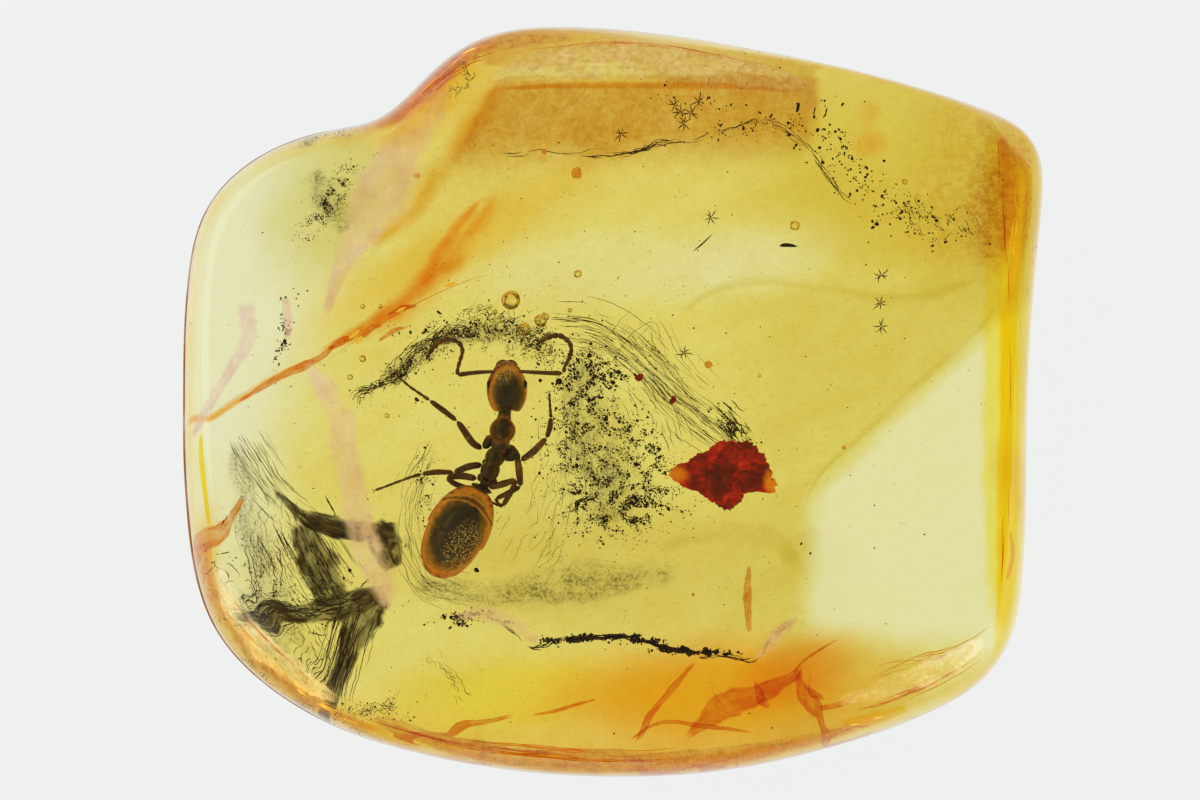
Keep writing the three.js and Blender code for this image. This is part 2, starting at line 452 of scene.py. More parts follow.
def chitin_with_painted_backlight(name, centre, turn, half, core, clear=1.0, painted_glint_share=0.0, painted_glint_spot=(0, 0),
                  ridges=()):
    """Cuticle with painted light through it: dark over the thick middle of a body part and clear orange at
    its edge, with a painted glow and painted glints.
    """
    f = Finish(name)
    local = f.place((*centre, 0), turn, (*half, 1e6))
    along = f.place()
    mottle = f.noise(along, 7.0, detail=5.0, roughness=0.6)
    # Painted light through the chitin: dark over the thick middle, clear orange towards the thin edge.
    far = f.node("ShaderNodeVectorMath", {"operation": "LENGTH"}, {0: local}, "Value")
    far = far + (mottle - 0.5) * 0.35
    colour = f.ramp(far, (0.0, (0.020, 0.016, 0.008)), (core, (0.026, 0.018, 0.007)),
                    (core + 0.12, (0.12, 0.060, 0.009)), (core + 0.22, (0.30 * clear, 0.14 * clear, 0.016)),
                    (0.88, (0.72 * clear, 0.29 * clear, 0.028)),
                    (0.95, (0.52 * clear, 0.14 * clear, 0.014)),
                    (1.02, (0.14, 0.026, 0.004)))
    lx, ly, _ = f.axes(local)
    for at in ridges:
        line = (ly - at + lx * lx * 0.35 + (mottle - 0.5) * 0.08).size()
        colour = f.blend(line.step(0.035, 0.01) * 0.8, colour, (0.14, 0.040, 0.006))
        colour = f.blend((line - 0.06).size().step(0.03, 0.0) * 0.7, colour, (0.80, 0.38, 0.06))
    # Painted highlights: pale dots for the glints on the face and the silvery air film on the gaster.
    if painted_glint_share:
        spread = ((lx - painted_glint_spot[0]) ** 2.0 + (ly - painted_glint_spot[1]) ** 2.0).step(0.45, 0.05)
        glint_dots = f.noise(along, 26.0, detail=2.0).step(0.5, 0.62) * spread * painted_glint_share
        colour = f.blend(glint_dots, colour, (0.62, 0.46, 0.20))
    skin = f.noise(along, 30.0, detail=2.0)
    # The emission is a painted glow, as of light shining through the thin chitin.
    return f.done(f.shader(
        Base_Color=colour, Roughness=0.28 + mottle * 0.15, IOR=1.6, Coat_Weight=0.3,
        Coat_Roughness=0.15, Emission_Color=colour, Emission_Strength=0.30,
        Normal=f.bump(skin, 0.35, 0.012)))


def limb_with_painted_light(name, dark, middle, light):
    f = Finish(name)
    here = f.place()
    patch = f.noise(here, 3.2, detail=4.0)
    colour = f.ramp(patch, (0.34, dark), (0.54, middle), (0.72, light))
    # The emission is a painted glow, as of light shining through the thin limbs.
    return f.done(f.shader(
        Base_Color=colour, Roughness=0.32, IOR=1.6, Coat_Weight=0.3, Coat_Roughness=0.15,
        Emission_Color=colour, Emission_Strength=0.25, Normal=f.bump(f.noise(here, 40.0), 0.4, 0.01)))


def on_head(x, y, z):
    """A point measured from the middle of the head."""
    return (HEAD[0] + x, HEAD[1] + y, HEAD_Z + z)


# Head: a broad capsule, notched behind where the neck goes in and tapering to the jaws.
HEAD_Z = ANT_HEIGHT + 0.02
head = bmesh.new()
for v in add_egg(head, (0, 0, 0), (0.475, 0.645, 0.40), segments=48, rings=32):
    x, y, z = (c / MM for c in v.co)
    front = max(0.0, y - 0.12)
    x *= 1 - 0.36 * front ** 1.35 / 0.5
    x = math.copysign(abs(x) ** 0.90 * 0.475 ** 0.10, x)
    z *= 1 - 0.35 * front
    behind = max(0.0, -y - 0.38) / 0.22
    y += 0.13 * behind * max(0.0, 1 - (abs(x) / 0.30) ** 2)
    v.co = Vector(on_head(x, y, z)) * MM
# Face shield, frontal ridges, cheeks and the sockets that hold the feelers.
add_egg(head, on_head(0.01, 0.40, 0.05), (0.26, 0.23, 0.20), 0, -14)
for side in (-1, 1):
    ridge = [on_head(side * 0.11, 0.46, 0.30), on_head(side * 0.12, 0.25, 0.385),
             on_head(side * 0.10, 0.02, 0.40)]
    add_limb(head, ridge, (0.02, 0.03, 0.012), 12)
    add_egg(head, on_head(side * 0.24, 0.44, 0.19), (0.07, 0.07, 0.06))
head_piece = add_piece("ant_head", head, chitin_with_painted_backlight(
    "head_chitin", (HEAD[0] + 0.04, HEAD[1] - 0.10), 0, (0.48, 0.66), 0.54, 1.0, 0.9, (-0.2, 0.85)))
remeshed(head_piece, 0.016, 2)

eyes = bmesh.new()
for side in (-1, 1):
    bmesh.ops.create_icosphere(eyes, subdivisions=3, radius=1.0, matrix=Matrix.Translation(
        Vector(on_head(side * 0.41, 0.10, 0.17)) * MM)
        @ Matrix.Rotation(side * 0.5, 4, "Y") @ Matrix.Diagonal((0.05 * MM, 0.10 * MM, 0.085 * MM, 1)))
f = Finish("eye_facets")
facets = f.node("ShaderNodeTexVoronoi", {"feature": "DISTANCE_TO_EDGE"}, {
    "Vector": f.place(), "Scale": 38.0})
black = f.ramp(facets, (0.0, (0.006, 0.004, 0.003)), (0.25, (0.05, 0.022, 0.010)))
add_piece("ant_eyes", eyes, f.done(f.shader(
    Base_Color=black, Roughness=0.2, IOR=1.6, Normal=f.bump(facets.least(0.2), 0.6, 0.01))),
    smooth=False)

# Jaws: two toothed blades folded across each other under the face shield.
jaws = bmesh.new()
for side in (-1, 1):
    blade = [on_head(side * 0.20, 0.42, -0.12), on_head(side * 0.19, 0.53, -0.12),
             on_head(side * 0.11, 0.605, -0.12 - side * 0.03),
             on_head(side * -0.04, 0.61, -0.13 - side * 0.03)]
    add_limb(jaws, blade, (0.06, 0.070, 0.060, 0.03), 20, 12, 0.55)
    for tooth in range(5):
        root = Vector(on_head(side * (0.17 - tooth * 0.05), 0.58 - tooth * 0.006, -0.10 - side * 0.03))
        tip = root + Vector((-side * 0.02, -0.075, 0))
        add_limb(jaws, [root, (root + tip) / 2, tip], (0.026, 0.02, 0.006), 5, 7, 0.7)
add_piece("ant_jaws", jaws, limb_with_painted_light(
    "jaw_chitin", (0.05, 0.018, 0.004), (0.15, 0.05, 0.008), (0.40, 0.17, 0.03)))

# Feelers: a long first joint, an elbow, then eleven short joints that thicken to a club.
feelers = bmesh.new()
SCAPES = (
    [(-2.62, 0.68, 0.20), (-3.07, 0.655, 0.24), (-3.50, 0.60, 0.20)],
    [(-2.17, 0.69, 0.20), (-1.65, 0.66, 0.25), (-1.07, 0.64, 0.22)],
)
FUNICLES = (
    [(-3.51, 0.60, 0.20), (-3.48, 0.78, 0.22), (-3.43, 0.94, 0.26), (-3.38, 1.13, 0.30),
     (-3.42, 1.28, 0.31), (-3.53, 1.375, 0.30), (-3.67, 1.41, 0.27), (-3.84, 1.38, 0.22),
     (-3.99, 1.28, 0.17), (-4.11, 1.13, 0.12), (-4.21, 0.93, 0.08)],
    [(-1.06, 0.65, 0.22), (-1.02, 0.81, 0.24), (-0.94, 0.96, 0.28), (-0.885, 1.15, 0.30),
     (-0.91, 1.32, 0.28), (-1.03, 1.45, 0.24), (-1.17, 1.51, 0.20), (-1.34, 1.49, 0.15),
     (-1.53, 1.41, 0.10), (-1.70, 1.28, 0.06)],
)
for scape, funicle in zip(SCAPES, FUNICLES):
    add_limb(feelers, in_ant(scape), (0.036, 0.048, 0.052, 0.060), 22, 10)
    add_limb(feelers, in_ant(funicle), (0.046, 0.048, 0.050, 0.056, 0.062, 0.068, 0.070, 0.058, 0.026),
             88, 10, beads=11, pinch=0.30)
add_piece("ant_feelers", feelers, limb_with_painted_light(
    "feeler_chitin", (0.050, 0.018, 0.005), (0.105, 0.038, 0.008), (0.24, 0.085, 0.014)))

# Trunk: neck, humped fore back, narrow middle and sloping rear, then the upright waist scale.
trunk = bmesh.new()
neck = in_ant([(-2.39, -0.08, 0), (-2.42, -0.34, -0.01), (-2.44, -0.50, 0)])
add_limb(trunk, neck, (0.15, 0.15, 0.2), 10, 16)
TRUNK_EGGS = (
    ((-2.46, -0.66, 0.03), (0.305, 0.30, 0.27), -6, 8),
    ((-2.50, -0.98, 0.05), (0.215, 0.24, 0.24), -14, 0),
    ((-2.63, -1.27, 0), (0.235, 0.24, 0.25), -22, -4),
    ((-2.74, -1.58, -0.02), (0.225, 0.27, 0.24), -24, -14),
    ((-2.84, -1.84, -0.08), (0.13, 0.14, 0.15), -26, -20),
    ((-2.93, -1.98, -0.02), (0.26, 0.065, 0.22), -26, 12),
)
for centre, half, turn, pitch in TRUNK_EGGS:
    add_egg(trunk, *in_ant([centre]), half, turn, pitch)
COXAE = (
    ((-2.70, -0.78, -0.12), (-2.78, -0.92, -0.20), (-2.90, -1.07, -0.16)),
    ((-2.66, -1.30, -0.14), (-2.80, -1.38, -0.20), (-2.92, -1.44, -0.14)),
    ((-2.76, -1.66, -0.14), (-2.90, -1.72, -0.20), (-3.04, -1.76, -0.16)),
    ((-2.34, -1.00, -0.12), (-2.20, -1.18, -0.18), (-2.06, -1.35, -0.14)),
    ((-2.46, -1.22, -0.14), (-2.28, -1.26, -0.20), (-2.12, -1.29, -0.16)),
    ((-2.66, -1.74, -0.16), (-2.70, -1.86, -0.22), (-2.76, -1.95, -0.18)),
)
for coxa in COXAE:
    add_limb(trunk, in_ant(coxa), (0.11, 0.12, 0.075), 10, 12)


def trunk_with_painted_glints():
    """Nearly black, with the fore back ringed in orange, which is painted light through its thin rim, and
    painted amber glints along the sides.
    """
    f = Finish("trunk_chitin")
    here = f.place()
    fine = f.noise(here, 5.0, detail=5.0, roughness=0.65)
    # Painted glints: the brightest stops of the noise are amber glints.
    colour = f.ramp(fine, (0.34, (0.014, 0.008, 0.004)), (0.52, (0.045, 0.019, 0.005)),
                    (0.62, (0.24, 0.085, 0.013)), (0.72, (0.62, 0.28, 0.05)))
    local = f.place((-2.47, -0.66, 0), 0, (0.31, 0.31, 1e6))
    far = f.node("ShaderNodeVectorMath", {"operation": "LENGTH"}, {0: local}, "Value")
    # A painted orange glow round the edge of the fore back, as light through its thin rim.
    ring = (far + (fine - 0.5) * 0.5).step(0.66, 0.88) * far.step(1.30, 1.0)
    low = f.axes(here)[1].step(-1.0, -0.75)
    colour = f.blend(ring * low * 0.85, colour, (0.55, 0.19, 0.025))
    return f.done(f.shader(
        Base_Color=colour, Roughness=0.30, IOR=1.6, Coat_Weight=0.4, Coat_Roughness=0.12,
        Normal=f.bump(f.noise(here, 24.0, detail=3.0), 0.45, 0.015)))


trunk_piece = add_piece("ant_trunk", trunk, trunk_with_painted_glints())
remeshed(trunk_piece, 0.014, 1)

# Legs: thigh, shin and five-jointed foot with two claws.
LEGS = (
    ([(-2.92, -1.08, -0.16), (-3.15, -0.93, -0.08), (-3.36, -0.64, -0.02), (-3.51, -0.44, 0)],
     [(-3.51, -0.44, 0), (-3.82, -0.20, -0.03), (-4.13, 0.03, -0.08)],
     [(-4.13, 0.03, -0.08), (-4.36, 0.19, -0.12), (-4.61, 0.36, -0.16), (-4.88, 0.60, -0.2)]),
    ([(-2.92, -1.44, -0.14), (-3.24, -1.48, -0.05), (-3.57, -1.61, -0.02)],
     [(-3.57, -1.61, -0.02), (-3.94, -1.60, -0.08), (-4.31, -1.64, -0.14)],
     [(-4.31, -1.64, -0.14), (-4.61, -1.73, -0.2), (-4.99, -1.87, -0.26), (-5.39, -2.02, -0.3)]),
    ([(-3.04, -1.76, -0.18), (-3.40, -1.69, -0.30), (-3.74, -1.73, -0.36)],
     [(-3.74, -1.73, -0.36), (-3.53, -1.88, -0.42), (-3.24, -1.97, -0.46)],
     [(-3.24, -1.97, -0.46), (-3.07, -2.06, -0.5), (-2.95, -2.16, -0.54), (-2.86, -2.3, -0.58)]),
    ([(-2.04, -1.36, -0.14), (-1.74, -1.14, -0.06), (-1.44, -0.83, 0)],
     [(-1.44, -0.83, 0), (-1.37, -0.60, -0.03), (-1.35, -0.37, -0.06)],
     [(-1.35, -0.37, -0.06), (-1.355, -0.2, -0.1), (-1.37, 0.0, -0.14), (-1.38, 0.2, -0.18)]),
    ([(-2.12, -1.29, -0.16), (-2.07, -1.60, -0.10), (-2.04, -1.95, -0.08)],
     [(-2.04, -1.95, -0.08), (-2.32, -2.10, -0.16), (-2.60, -2.23, -0.24)],
     [(-2.60, -2.23, -0.24), (-2.56, -2.31, -0.3), (-2.50, -2.36, -0.34), (-2.42, -2.38, -0.38)]),
    ([(-2.78, -1.96, -0.18), (-2.49, -1.90, -0.10), (-2.14, -1.79, -0.02)],
     [(-2.14, -1.79, -0.02), (-2.26, -2.08, -0.10), (-2.44, -2.40, -0.20)],
     [(-2.44, -2.40, -0.20), (-2.58, -2.36, -0.26), (-2.7, -2.30, -0.3), (-2.82, -2.2, -0.34)]),
)
legs = bmesh.new()
for joints in LEGS:
    thigh, shin, foot = map(in_ant, joints)
    add_limb(legs, thigh, (0.066, 0.080, 0.086, 0.076, 0.062), 18, 12)
    add_limb(legs, shin, (0.060, 0.062, 0.070, 0.062, 0.052), 16, 10)
    add_limb(legs, foot, (0.046, 0.036, 0.032, 0.030, 0.031), 40, 8, beads=5, pinch=0.26)
    end, before = Vector(foot[-1]), Vector(foot[-2])
    ahead = (end - before).normalized()
    side = ahead.cross(Vector((0, 0, 1)))
    for way in (-1, 1):
        add_limb(legs, [end, end + ahead * 0.035 + side * 0.03 * way,
                        end + ahead * 0.05 + side * 0.05 * way - Vector((0, 0, 0.03))],
                 (0.012, 0.010, 0.003), 6, 6)
    heel = Vector(shin[-1])
    add_limb(legs, [heel, heel + ahead * 0.05 + side * 0.02, heel + ahead * 0.11 + side * 0.03],
             (0.012, 0.009, 0.003), 5, 6)
add_piece("ant_legs", legs, limb_with_painted_light(
    "leg_chitin", (0.036, 0.013, 0.004), (0.100, 0.036, 0.007), (0.30, 0.11, 0.018)))

# Gaster: five plates that overlap like tiles, each edge a shallow step, spun about the long axis.
gaster = bmesh.new()
GASTER_HALF = (0.745, 1.13, 0.60)
made = bmesh.ops.create_uvsphere(gaster, u_segments=56, v_segments=72, radius=1.0)["verts"]
PLATE_ENDS = (0.13, 0.52, 0.80, 0.93)
turned = Matrix.Rotation(math.radians(GASTER_TURN), 3, "Z")
for v in made:
    share = math.acos(max(-1.0, min(1.0, v.co.z))) / math.pi
    around = math.atan2(v.co.y, v.co.x)
    plate = sum(share > end for end in PLATE_ENDS)
    start = (0.0, *PLATE_ENDS)[plate]
    lift = 1.0 - 0.035 * plate + 0.045 * (share - start)
    ring = math.sin(math.pi * share) ** 0.86 * lift
    ring *= 1 + 0.05 * math.sin(math.pi * share) * math.cos(math.pi * share)
    local = Vector((GASTER_HALF[0] * ring * math.cos(around), GASTER_HALF[1] * math.cos(math.pi * share),
                    GASTER_HALF[2] * ring * math.sin(around)))
    if local.z > 0:
        local.z *= 0.92
    v.co = (turned @ local + Vector((*GASTER, ANT_HEIGHT - 0.06))) * MM
add_piece("ant_gaster", gaster, chitin_with_painted_backlight(
    "gaster_chitin", GASTER, GASTER_TURN, (0.76, 1.15), 0.56, 1.1, 1.0, (0.36, -0.20),
    (0.70,)))


# ---- The red flake ---------------------------------------------------------------------------------
# A scale of red-brown bark, 2.5 mm across, and two crumbs of it. The light through it is painted: a
# deep red glow of its own, and orange colour at the two corners where it thins out most.

FLAKE_CENTRE = (2.66, -1.66)
FLAKE_HEIGHT = 3.55
FLAKE_THICKNESS = 0.24
# Its edge, in mm, anticlockwise.
FLAKE_EDGE = (
    (1.30, -1.62), (1.46, -1.75), (1.69, -1.95), (1.90, -2.00), (2.09, -2.09), (2.38, -2.30),
    (2.65, -2.46), (2.91, -2.37), (3.05, -2.11), (3.23, -2.04), (3.57, -2.09), (3.78, -2.04),
    (3.71, -1.73), (3.57, -1.39), (3.37, -1.11), (3.16, -0.92), (2.93, -0.88), (2.74, -0.90),
    (2.57, -0.85), (2.38, -0.95), (2.21, -1.12), (1.95, -1.19), (1.78, -1.36), (1.58, -1.39),
)
CRUMBS = (
    ((0.69, 0.55, 3.7), 0.05, ((-0.12, 0.02), (0.06, -0.06), (0.08, 0.01), (0.07, 0.07), (-0.03, 0.06))),
    ((1.44, 0.04, 3.6), 0.05, ((-0.06, -0.09), (0.03, -0.08), (0.06, -0.02), (0.01, 0.11), (-0.03, 0.03))),
)


def add_plate(shape, centre, edge, thickness, ragged, segments=120, rings=30):
    """A thin plate with an uneven face: a flattened sphere spread to the given edge."""
    edge = sorted((math.atan2(y, x), math.hypot(x, y)) for x, y in edge)
    angles = [a for a, _ in edge]
    reaches = [r for _, r in edge]
    made = bmesh.ops.create_uvsphere(shape, u_segments=segments, v_segments=rings, radius=1.0)["verts"]
    for v in made:
        around = math.atan2(v.co.y, v.co.x)
        out = math.hypot(v.co.x, v.co.y) ** 0.55
        reach = float(np.interp(around, angles, reaches, period=2 * math.pi))
        reach *= 1 + ragged * noise.noise(Vector((around * 9, 3, 0)))
        reach *= 1 + ragged * 0.9 * noise.noise(Vector((around * 31, 7, 0)))
        x, y = out * reach * math.cos(around), out * reach * math.sin(around)
        fold = noise.noise(Vector((x * 2.2, y * 2.2, 1))) * 0.9
        fold += noise.noise(Vector((x * 7, y * 7, 5))) * 0.35
        rise = math.copysign(abs(v.co.z) ** 0.5, v.co.z) * (1 + fold * 0.5) + fold * 0.5
        v.co = (Vector(centre) + Vector((x, y, rise * thickness / 2))) * MM


def flake_with_painted_light():
    f = Finish("bark_flake")
    here = f.place()
    grain = f.noise(here, 2.6, detail=6.0, roughness=0.65, distortion=0.5)
    colour = f.ramp(grain, (0.30, (0.030, 0.002, 0.001)), (0.46, (0.14, 0.004, 0.001)),
                    (0.58, (0.42, 0.014, 0.002)), (0.72, (0.62, 0.09, 0.008)))
    # Painted light through the bark: orange colour at the two thin corners, and a painted deep red glow.
    thin = (f.oval((1.42, -1.62), (0.26, 0.16), -10, 0.9, 1.2, 5.0) * 0.7
            + f.oval((3.66, -1.86), (0.15, 0.24), 12, 0.6, 1.2, 5.0) * 0.8).least(1)
    colour = f.blend(thin, colour, (0.86, 0.30, 0.02))
    glow = f.blend(thin, f.tint(colour, 1.0, (0.9, 0.35, 0.2)), (0.70, 0.26, 0.01))
    rough = f.noise(here, 9.0, detail=5.0)
    return f.done(f.shader(
        Base_Color=colour, Roughness=0.42, IOR=1.6, Emission_Color=glow, Emission_Strength=0.65,
        Normal=f.bump(rough, 0.8, 0.03)))


flake = bmesh.new()
add_plate(flake, (*FLAKE_CENTRE, FLAKE_HEIGHT),
          [(x - FLAKE_CENTRE[0], y - FLAKE_CENTRE[1]) for x, y in FLAKE_EDGE], FLAKE_THICKNESS, 0.09)
for centre, thickness, edge in CRUMBS:
    add_plate(flake, centre, edge, thickness, 0.1, 24, 8)
add_piece("red_flake", flake, flake_with_painted_light())


# ---- Bubbles ---------------------------------------------------------------------------------------
# Air bubbles above and beside the ant, and small clots of darker resin. A bubble is a hole, so light
# bends the other way at its wall.

BUBBLES = (
    ((-2.25, 2.32, 3.9), 0.225), ((-1.97, 1.65, 3.7), 0.165), ((-1.58, 1.86, 3.8), 0.15),
    ((-1.47, 1.95, 3.7), 0.09), ((-0.90, 2.09, 3.6), 0.055), ((-0.74, 2.91, 3.8), 0.095),
    ((1.02, 1.20, 3.4), 0.06), ((4.21, 4.00, 3.9), 0.12), ((-5.66, 0.97, 3.8), 0.085),
    ((-5.94, 0.55, 3.6), 0.07), ((-5.10, -0.32, 3.5), 0.06), ((6.69, 5.01, 3.4), 0.07),
    ((-5.66, 2.16, 3.5), 0.06), ((-5.26, 2.16, 3.9), 0.055), ((-3.84, 1.16, 3.2), 0.05),
    ((-2.62, 2.06, 3.5), 0.05), ((-1.30, 1.55, 3.4), 0.05), ((3.4, 0.6, 3.0), 0.045),
)
CLOTS = (
    ((-0.76, 5.19, 3.8), 0.12), ((-4.40, 5.17, 3.6), 0.07), ((2.23, 0.83, 3.7), 0.09),
    ((5.33, -1.06, 3.4), 0.05), ((-1.51, 5.68, 3.8), 0.06), ((1.9, -4.4, 3.3), 0.04),
)


def add_pebbles(shape, spots, uneven, subdivisions=4):
    """Small round bodies, each squashed and dented a little its own way."""
    for number, (centre, radius) in enumerate(spots):
        made = bmesh.ops.create_icosphere(shape, subdivisions=subdivisions, radius=1.0)["verts"]
        for v in made:
            dent = 1 + uneven * noise.noise(v.co * 1.4 + Vector((number * 7.3, 0, 0)))
            v.co = (Vector(centre) + Vector((v.co.x, v.co.y * 0.95, v.co.z * 0.8)) * radius * dent) * MM


f = Finish("bubble_wall")
stained = f.noise(f.place(), 6.0, detail=3.0).step(0.3, 0.7)
bubble_wall = f.done(f.shader(
    Base_Color=f.blend(stained, (1.0, 0.97, 0.85), (0.98, 0.78, 0.42)), Roughness=0.0,
    IOR=1 / AMBER_INDEX, Transmission_Weight=1.0))
bubbles = bmesh.new()
add_pebbles(bubbles, BUBBLES, 0.10)
add_piece("air_bubbles", bubbles, bubble_wall)

f = Finish("resin_clot")
mottle = f.noise(f.place(), 9.0, detail=4.0)
clot = f.ramp(mottle, (0.35, (0.72, 0.30, 0.02)), (0.6, (0.97, 0.55, 0.07)))
clots = bmesh.new()
add_pebbles(clots, CLOTS, 0.5, 3)
# The clots' emission is a painted glow.
add_piece("resin_clots", clots, f.done(f.shader(
    Base_Color=clot, Roughness=0.4, Emission_Color=clot, Emission_Strength=0.35,
    Alpha=mottle.step(0.2, 0.5))))


# ---- Oak hairs, rods and specks --------------------------------------------------------------------
# Star-shaped hairs of oak buds, shed in every Baltic amber summer, with a few broken plant fibres.

HAIRS = (
    (6.17, 1.72, 3.6), (2.30, 4.19, 3.9), (-9.5, 0.06, 3.0), (1.69, 1.09, 3.7), (6.15, 2.25, 3.4),
    (6.15, 2.88, 3.8), (0.25, 6.10, 3.2), (1.46, 6.76, 3.9), (1.83, 6.57, 4.0), (2.00, 6.85, 3.8),
    (1.67, 6.34, 3.9), (1.60, 6.60, 3.7),
)
HAIR_REACH = (0.14, 0.24)
HAIR_RADIUS = 0.014
FIBRES = (
    ((3.86, 3.54, 3.7), (4.04, 3.56, 3.72), (4.28, 3.53, 3.7), 0.045),
    ((1.88, 3.40, 3.8), (2.10, 3.58, 3.85), (2.35, 3.82, 3.9), 0.018),
    ((-4.46, 0.10, 3.6), (-4.42, 0.04, 3.6), (-4.36, 0.02, 3.6), 0.045),
    ((-3.06, -3.80, 3.5), (-3.02, -3.85, 3.5), (-2.96, -3.88, 3.5), 0.055),
    ((-3.96, 2.07, 3.6), (-3.91, 2.02, 3.6), (-3.84, 1.98, 3.6), 0.03),
    ((-4.60, 0.94, 3.6), (-4.56, 0.90, 3.6), (-4.55, 0.82, 3.6), 0.03),
)
BEADS = (((-1.16, 0.46, 4.0), 0.078), ((-1.31, 0.41, 4.0), 0.036), ((-0.98, 0.36, 4.0), 0.04))

chance = random.Random(4)
hairs = bmesh.new()
for spot in HAIRS:
    middle = Vector(spot)
    first = chance.uniform(0, 60)
    for arm in range(7):
        a = math.radians(first + arm * 51 + chance.uniform(-14, 14))
        reach = chance.uniform(*HAIR_REACH)
        way = Vector((math.cos(a), math.sin(a), chance.uniform(-0.5, 0.5)))
        bend = Vector((chance.uniform(-1, 1), chance.uniform(-1, 1), 0)) * reach * 0.12
        add_limb(hairs, [middle, middle + way * reach * 0.5 + bend, middle + way * reach],
                 (HAIR_RADIUS, HAIR_RADIUS * 0.9, HAIR_RADIUS * 0.3), 6, 5)
f = Finish("oak_hair")
brown = f.ramp(f.noise(f.place(), 3.0), (0.4, (0.035, 0.011, 0.004)), (0.6, (0.12, 0.026, 0.006)))
add_piece("oak_hairs", hairs, f.done(f.shader(Base_Color=brown, Roughness=0.5)))

fibres = bmesh.new()
for *points, radius in FIBRES:
    add_limb(fibres, points, (radius * 0.6, radius, radius * 0.8, radius * 0.4), 10, 8, 0.7)
add_pebbles(fibres, BEADS, 0.06, 3)
f = Finish("plant_fibre")
rough = f.noise(f.place(), 12.0, detail=4.0)
dark = f.ramp(rough, (0.35, (0.008, 0.006, 0.004)), (0.65, (0.060, 0.030, 0.010)))
add_piece("plant_fibres", fibres, f.done(f.shader(
    Base_Color=dark, Roughness=0.55, Normal=f.bump(rough, 0.5, 0.01))))


# ---- Wood dust -------------------------------------------------------------------------------------
# Thousands of dark grains of rotten wood: a cloud beside the ant, and sprinklings elsewhere.

GRAIN_DENTS = 0.35


def level(height, *spots):
    """Points in plan, all at one height."""
    return [(x, y, height) for x, y in spots]


# The join of two flows under the ant, where dust gathered thickly.
SEAM = level(3.5, (-3.54, -5.10), (-3.30, -4.91), (-2.91, -4.84), (-2.49, -5.01), (-2.14, -5.29),
             (-1.86, -5.59), (-1.48, -5.57), (-1.20, -5.45), (-0.74, -5.40), (-0.27, -5.38), (0.25, -5.36),
             (0.78, -5.47), (1.32, -5.64), (1.83, -5.71), (2.35, -5.75), (2.88, -5.87), (3.28, -5.92),
             (3.58, -5.57), (3.93, -5.15), (4.28, -4.91))
# Each drift: centre, spread along and across, turn in degrees, height and its spread, grains, size.
DRIFTS = (
    ((-0.32, 0.70), (0.42, 0.22), -28, (3.6, 0.3), 620, 0.0125),
    ((-0.72, 0.28), (0.28, 0.45), 0, (3.5, 0.3), 420, 0.0125),
    ((-0.60, -0.40), (0.36, 0.55), -10, (3.4, 0.35), 700, 0.0125),
    ((0.25, -0.55), (0.62, 0.15), -42, (3.5, 0.25), 420, 0.0125),
    ((-0.78, -1.25), (0.36, 0.55), 10, (3.3, 0.35), 520, 0.012),
    ((0.95, -1.10), (0.12, 0.45), 14, (3.5, 0.2), 260, 0.0125),
    ((0.45, -1.85), (0.52, 0.40), -15, (3.2, 0.35), 1100, 0.0125),
    ((0.35, -2.50), (0.56, 0.28), 10, (3.1, 0.3), 1100, 0.012),
    ((-0.30, -1.0), (0.75, 1.10), 0, (3.3, 0.4), 700, 0.010),
    ((-0.62, -2.40), (0.22, 0.30), 20, (3.2, 0.3), 220, 0.012),
    ((2.75, -0.62), (0.36, 0.12), -40, (3.6, 0.2), 240, 0.011),
    ((-4.22, -1.95), (0.12, 0.42), 6, (3.6, 0.3), 160, 0.011),
    ((-4.35, 1.00), (0.72, 0.13), 34, (3.5, 0.3), 520, 0.011),
    ((-2.95, 1.66), (0.80, 0.16), 4, (3.5, 0.3), 760, 0.011),
    ((-1.65, 1.25), (0.26, 0.30), 4, (3.5, 0.3), 300, 0.011),
    ((-7.46, 1.55), (0.09, 0.46), -10, (3.0, 0.3), 110, 0.018),
    ((-6.45, 4.60), (0.15, 0.52), -34, (3.0, 0.3), 900, 0.008),
    ((-6.42, 4.68), (0.06, 0.34), -34, (3.0, 0.2), 160, 0.012),
    ((5.20, 5.70), (0.50, 0.26), -40, (3.4, 0.4), 120, 0.016),
    ((6.20, 4.60), (0.66, 0.30), -40, (3.3, 0.4), 190, 0.017),
    ((7.50, 3.95), (0.50, 0.22), -20, (3.3, 0.4), 90, 0.015),
    ((3.6, 6.25), (0.80, 0.14), 4, (3.6, 0.3), 120, 0.014),
    ((2.6, 6.9), (1.2, 0.4), 0, (3.8, 0.3), 90, 0.014),
    ((-7.4, -4.4), (0.9, 0.8), 10, (2.6, 0.5), 700, 0.010),
    ((-5.4, -6.9), (0.6, 0.12), -4, (2.4, 0.4), 150, 0.010),
    ((-3.4, -4.92), (0.30, 0.06), 8, (3.4, 0.2), 160, 0.014),
    *(((x, y), (0.22, 0.034), 0, (3.5, 0.1), 110, 0.019) for x, y, _ in SEAM[7:15]),
    *(((x, y), (0.16, 0.030), 0, (3.5, 0.1), 26, 0.017) for x, y, _ in SEAM[0:4]),
    ((-1.0, -0.6), (2.6, 2.6), 0, (3.3, 0.8), 900, 0.0075),
    ((0.0, 0.0), (5.0, 4.0), 0, (3.0, 0.9), 500, 0.009),
)


def inside(x, y, z, margin=0.35):
    """Whether a point in mm is well inside the stone."""
    spread = 1 + margin / math.hypot(x, y, 1e-6)
    above = skin_tree.ray_cast(Vector((x * spread, y * spread, 20)) * MM, Vector((0, 0, -1)))[0]
    return bool(above) and margin < z < above.z / MM - margin


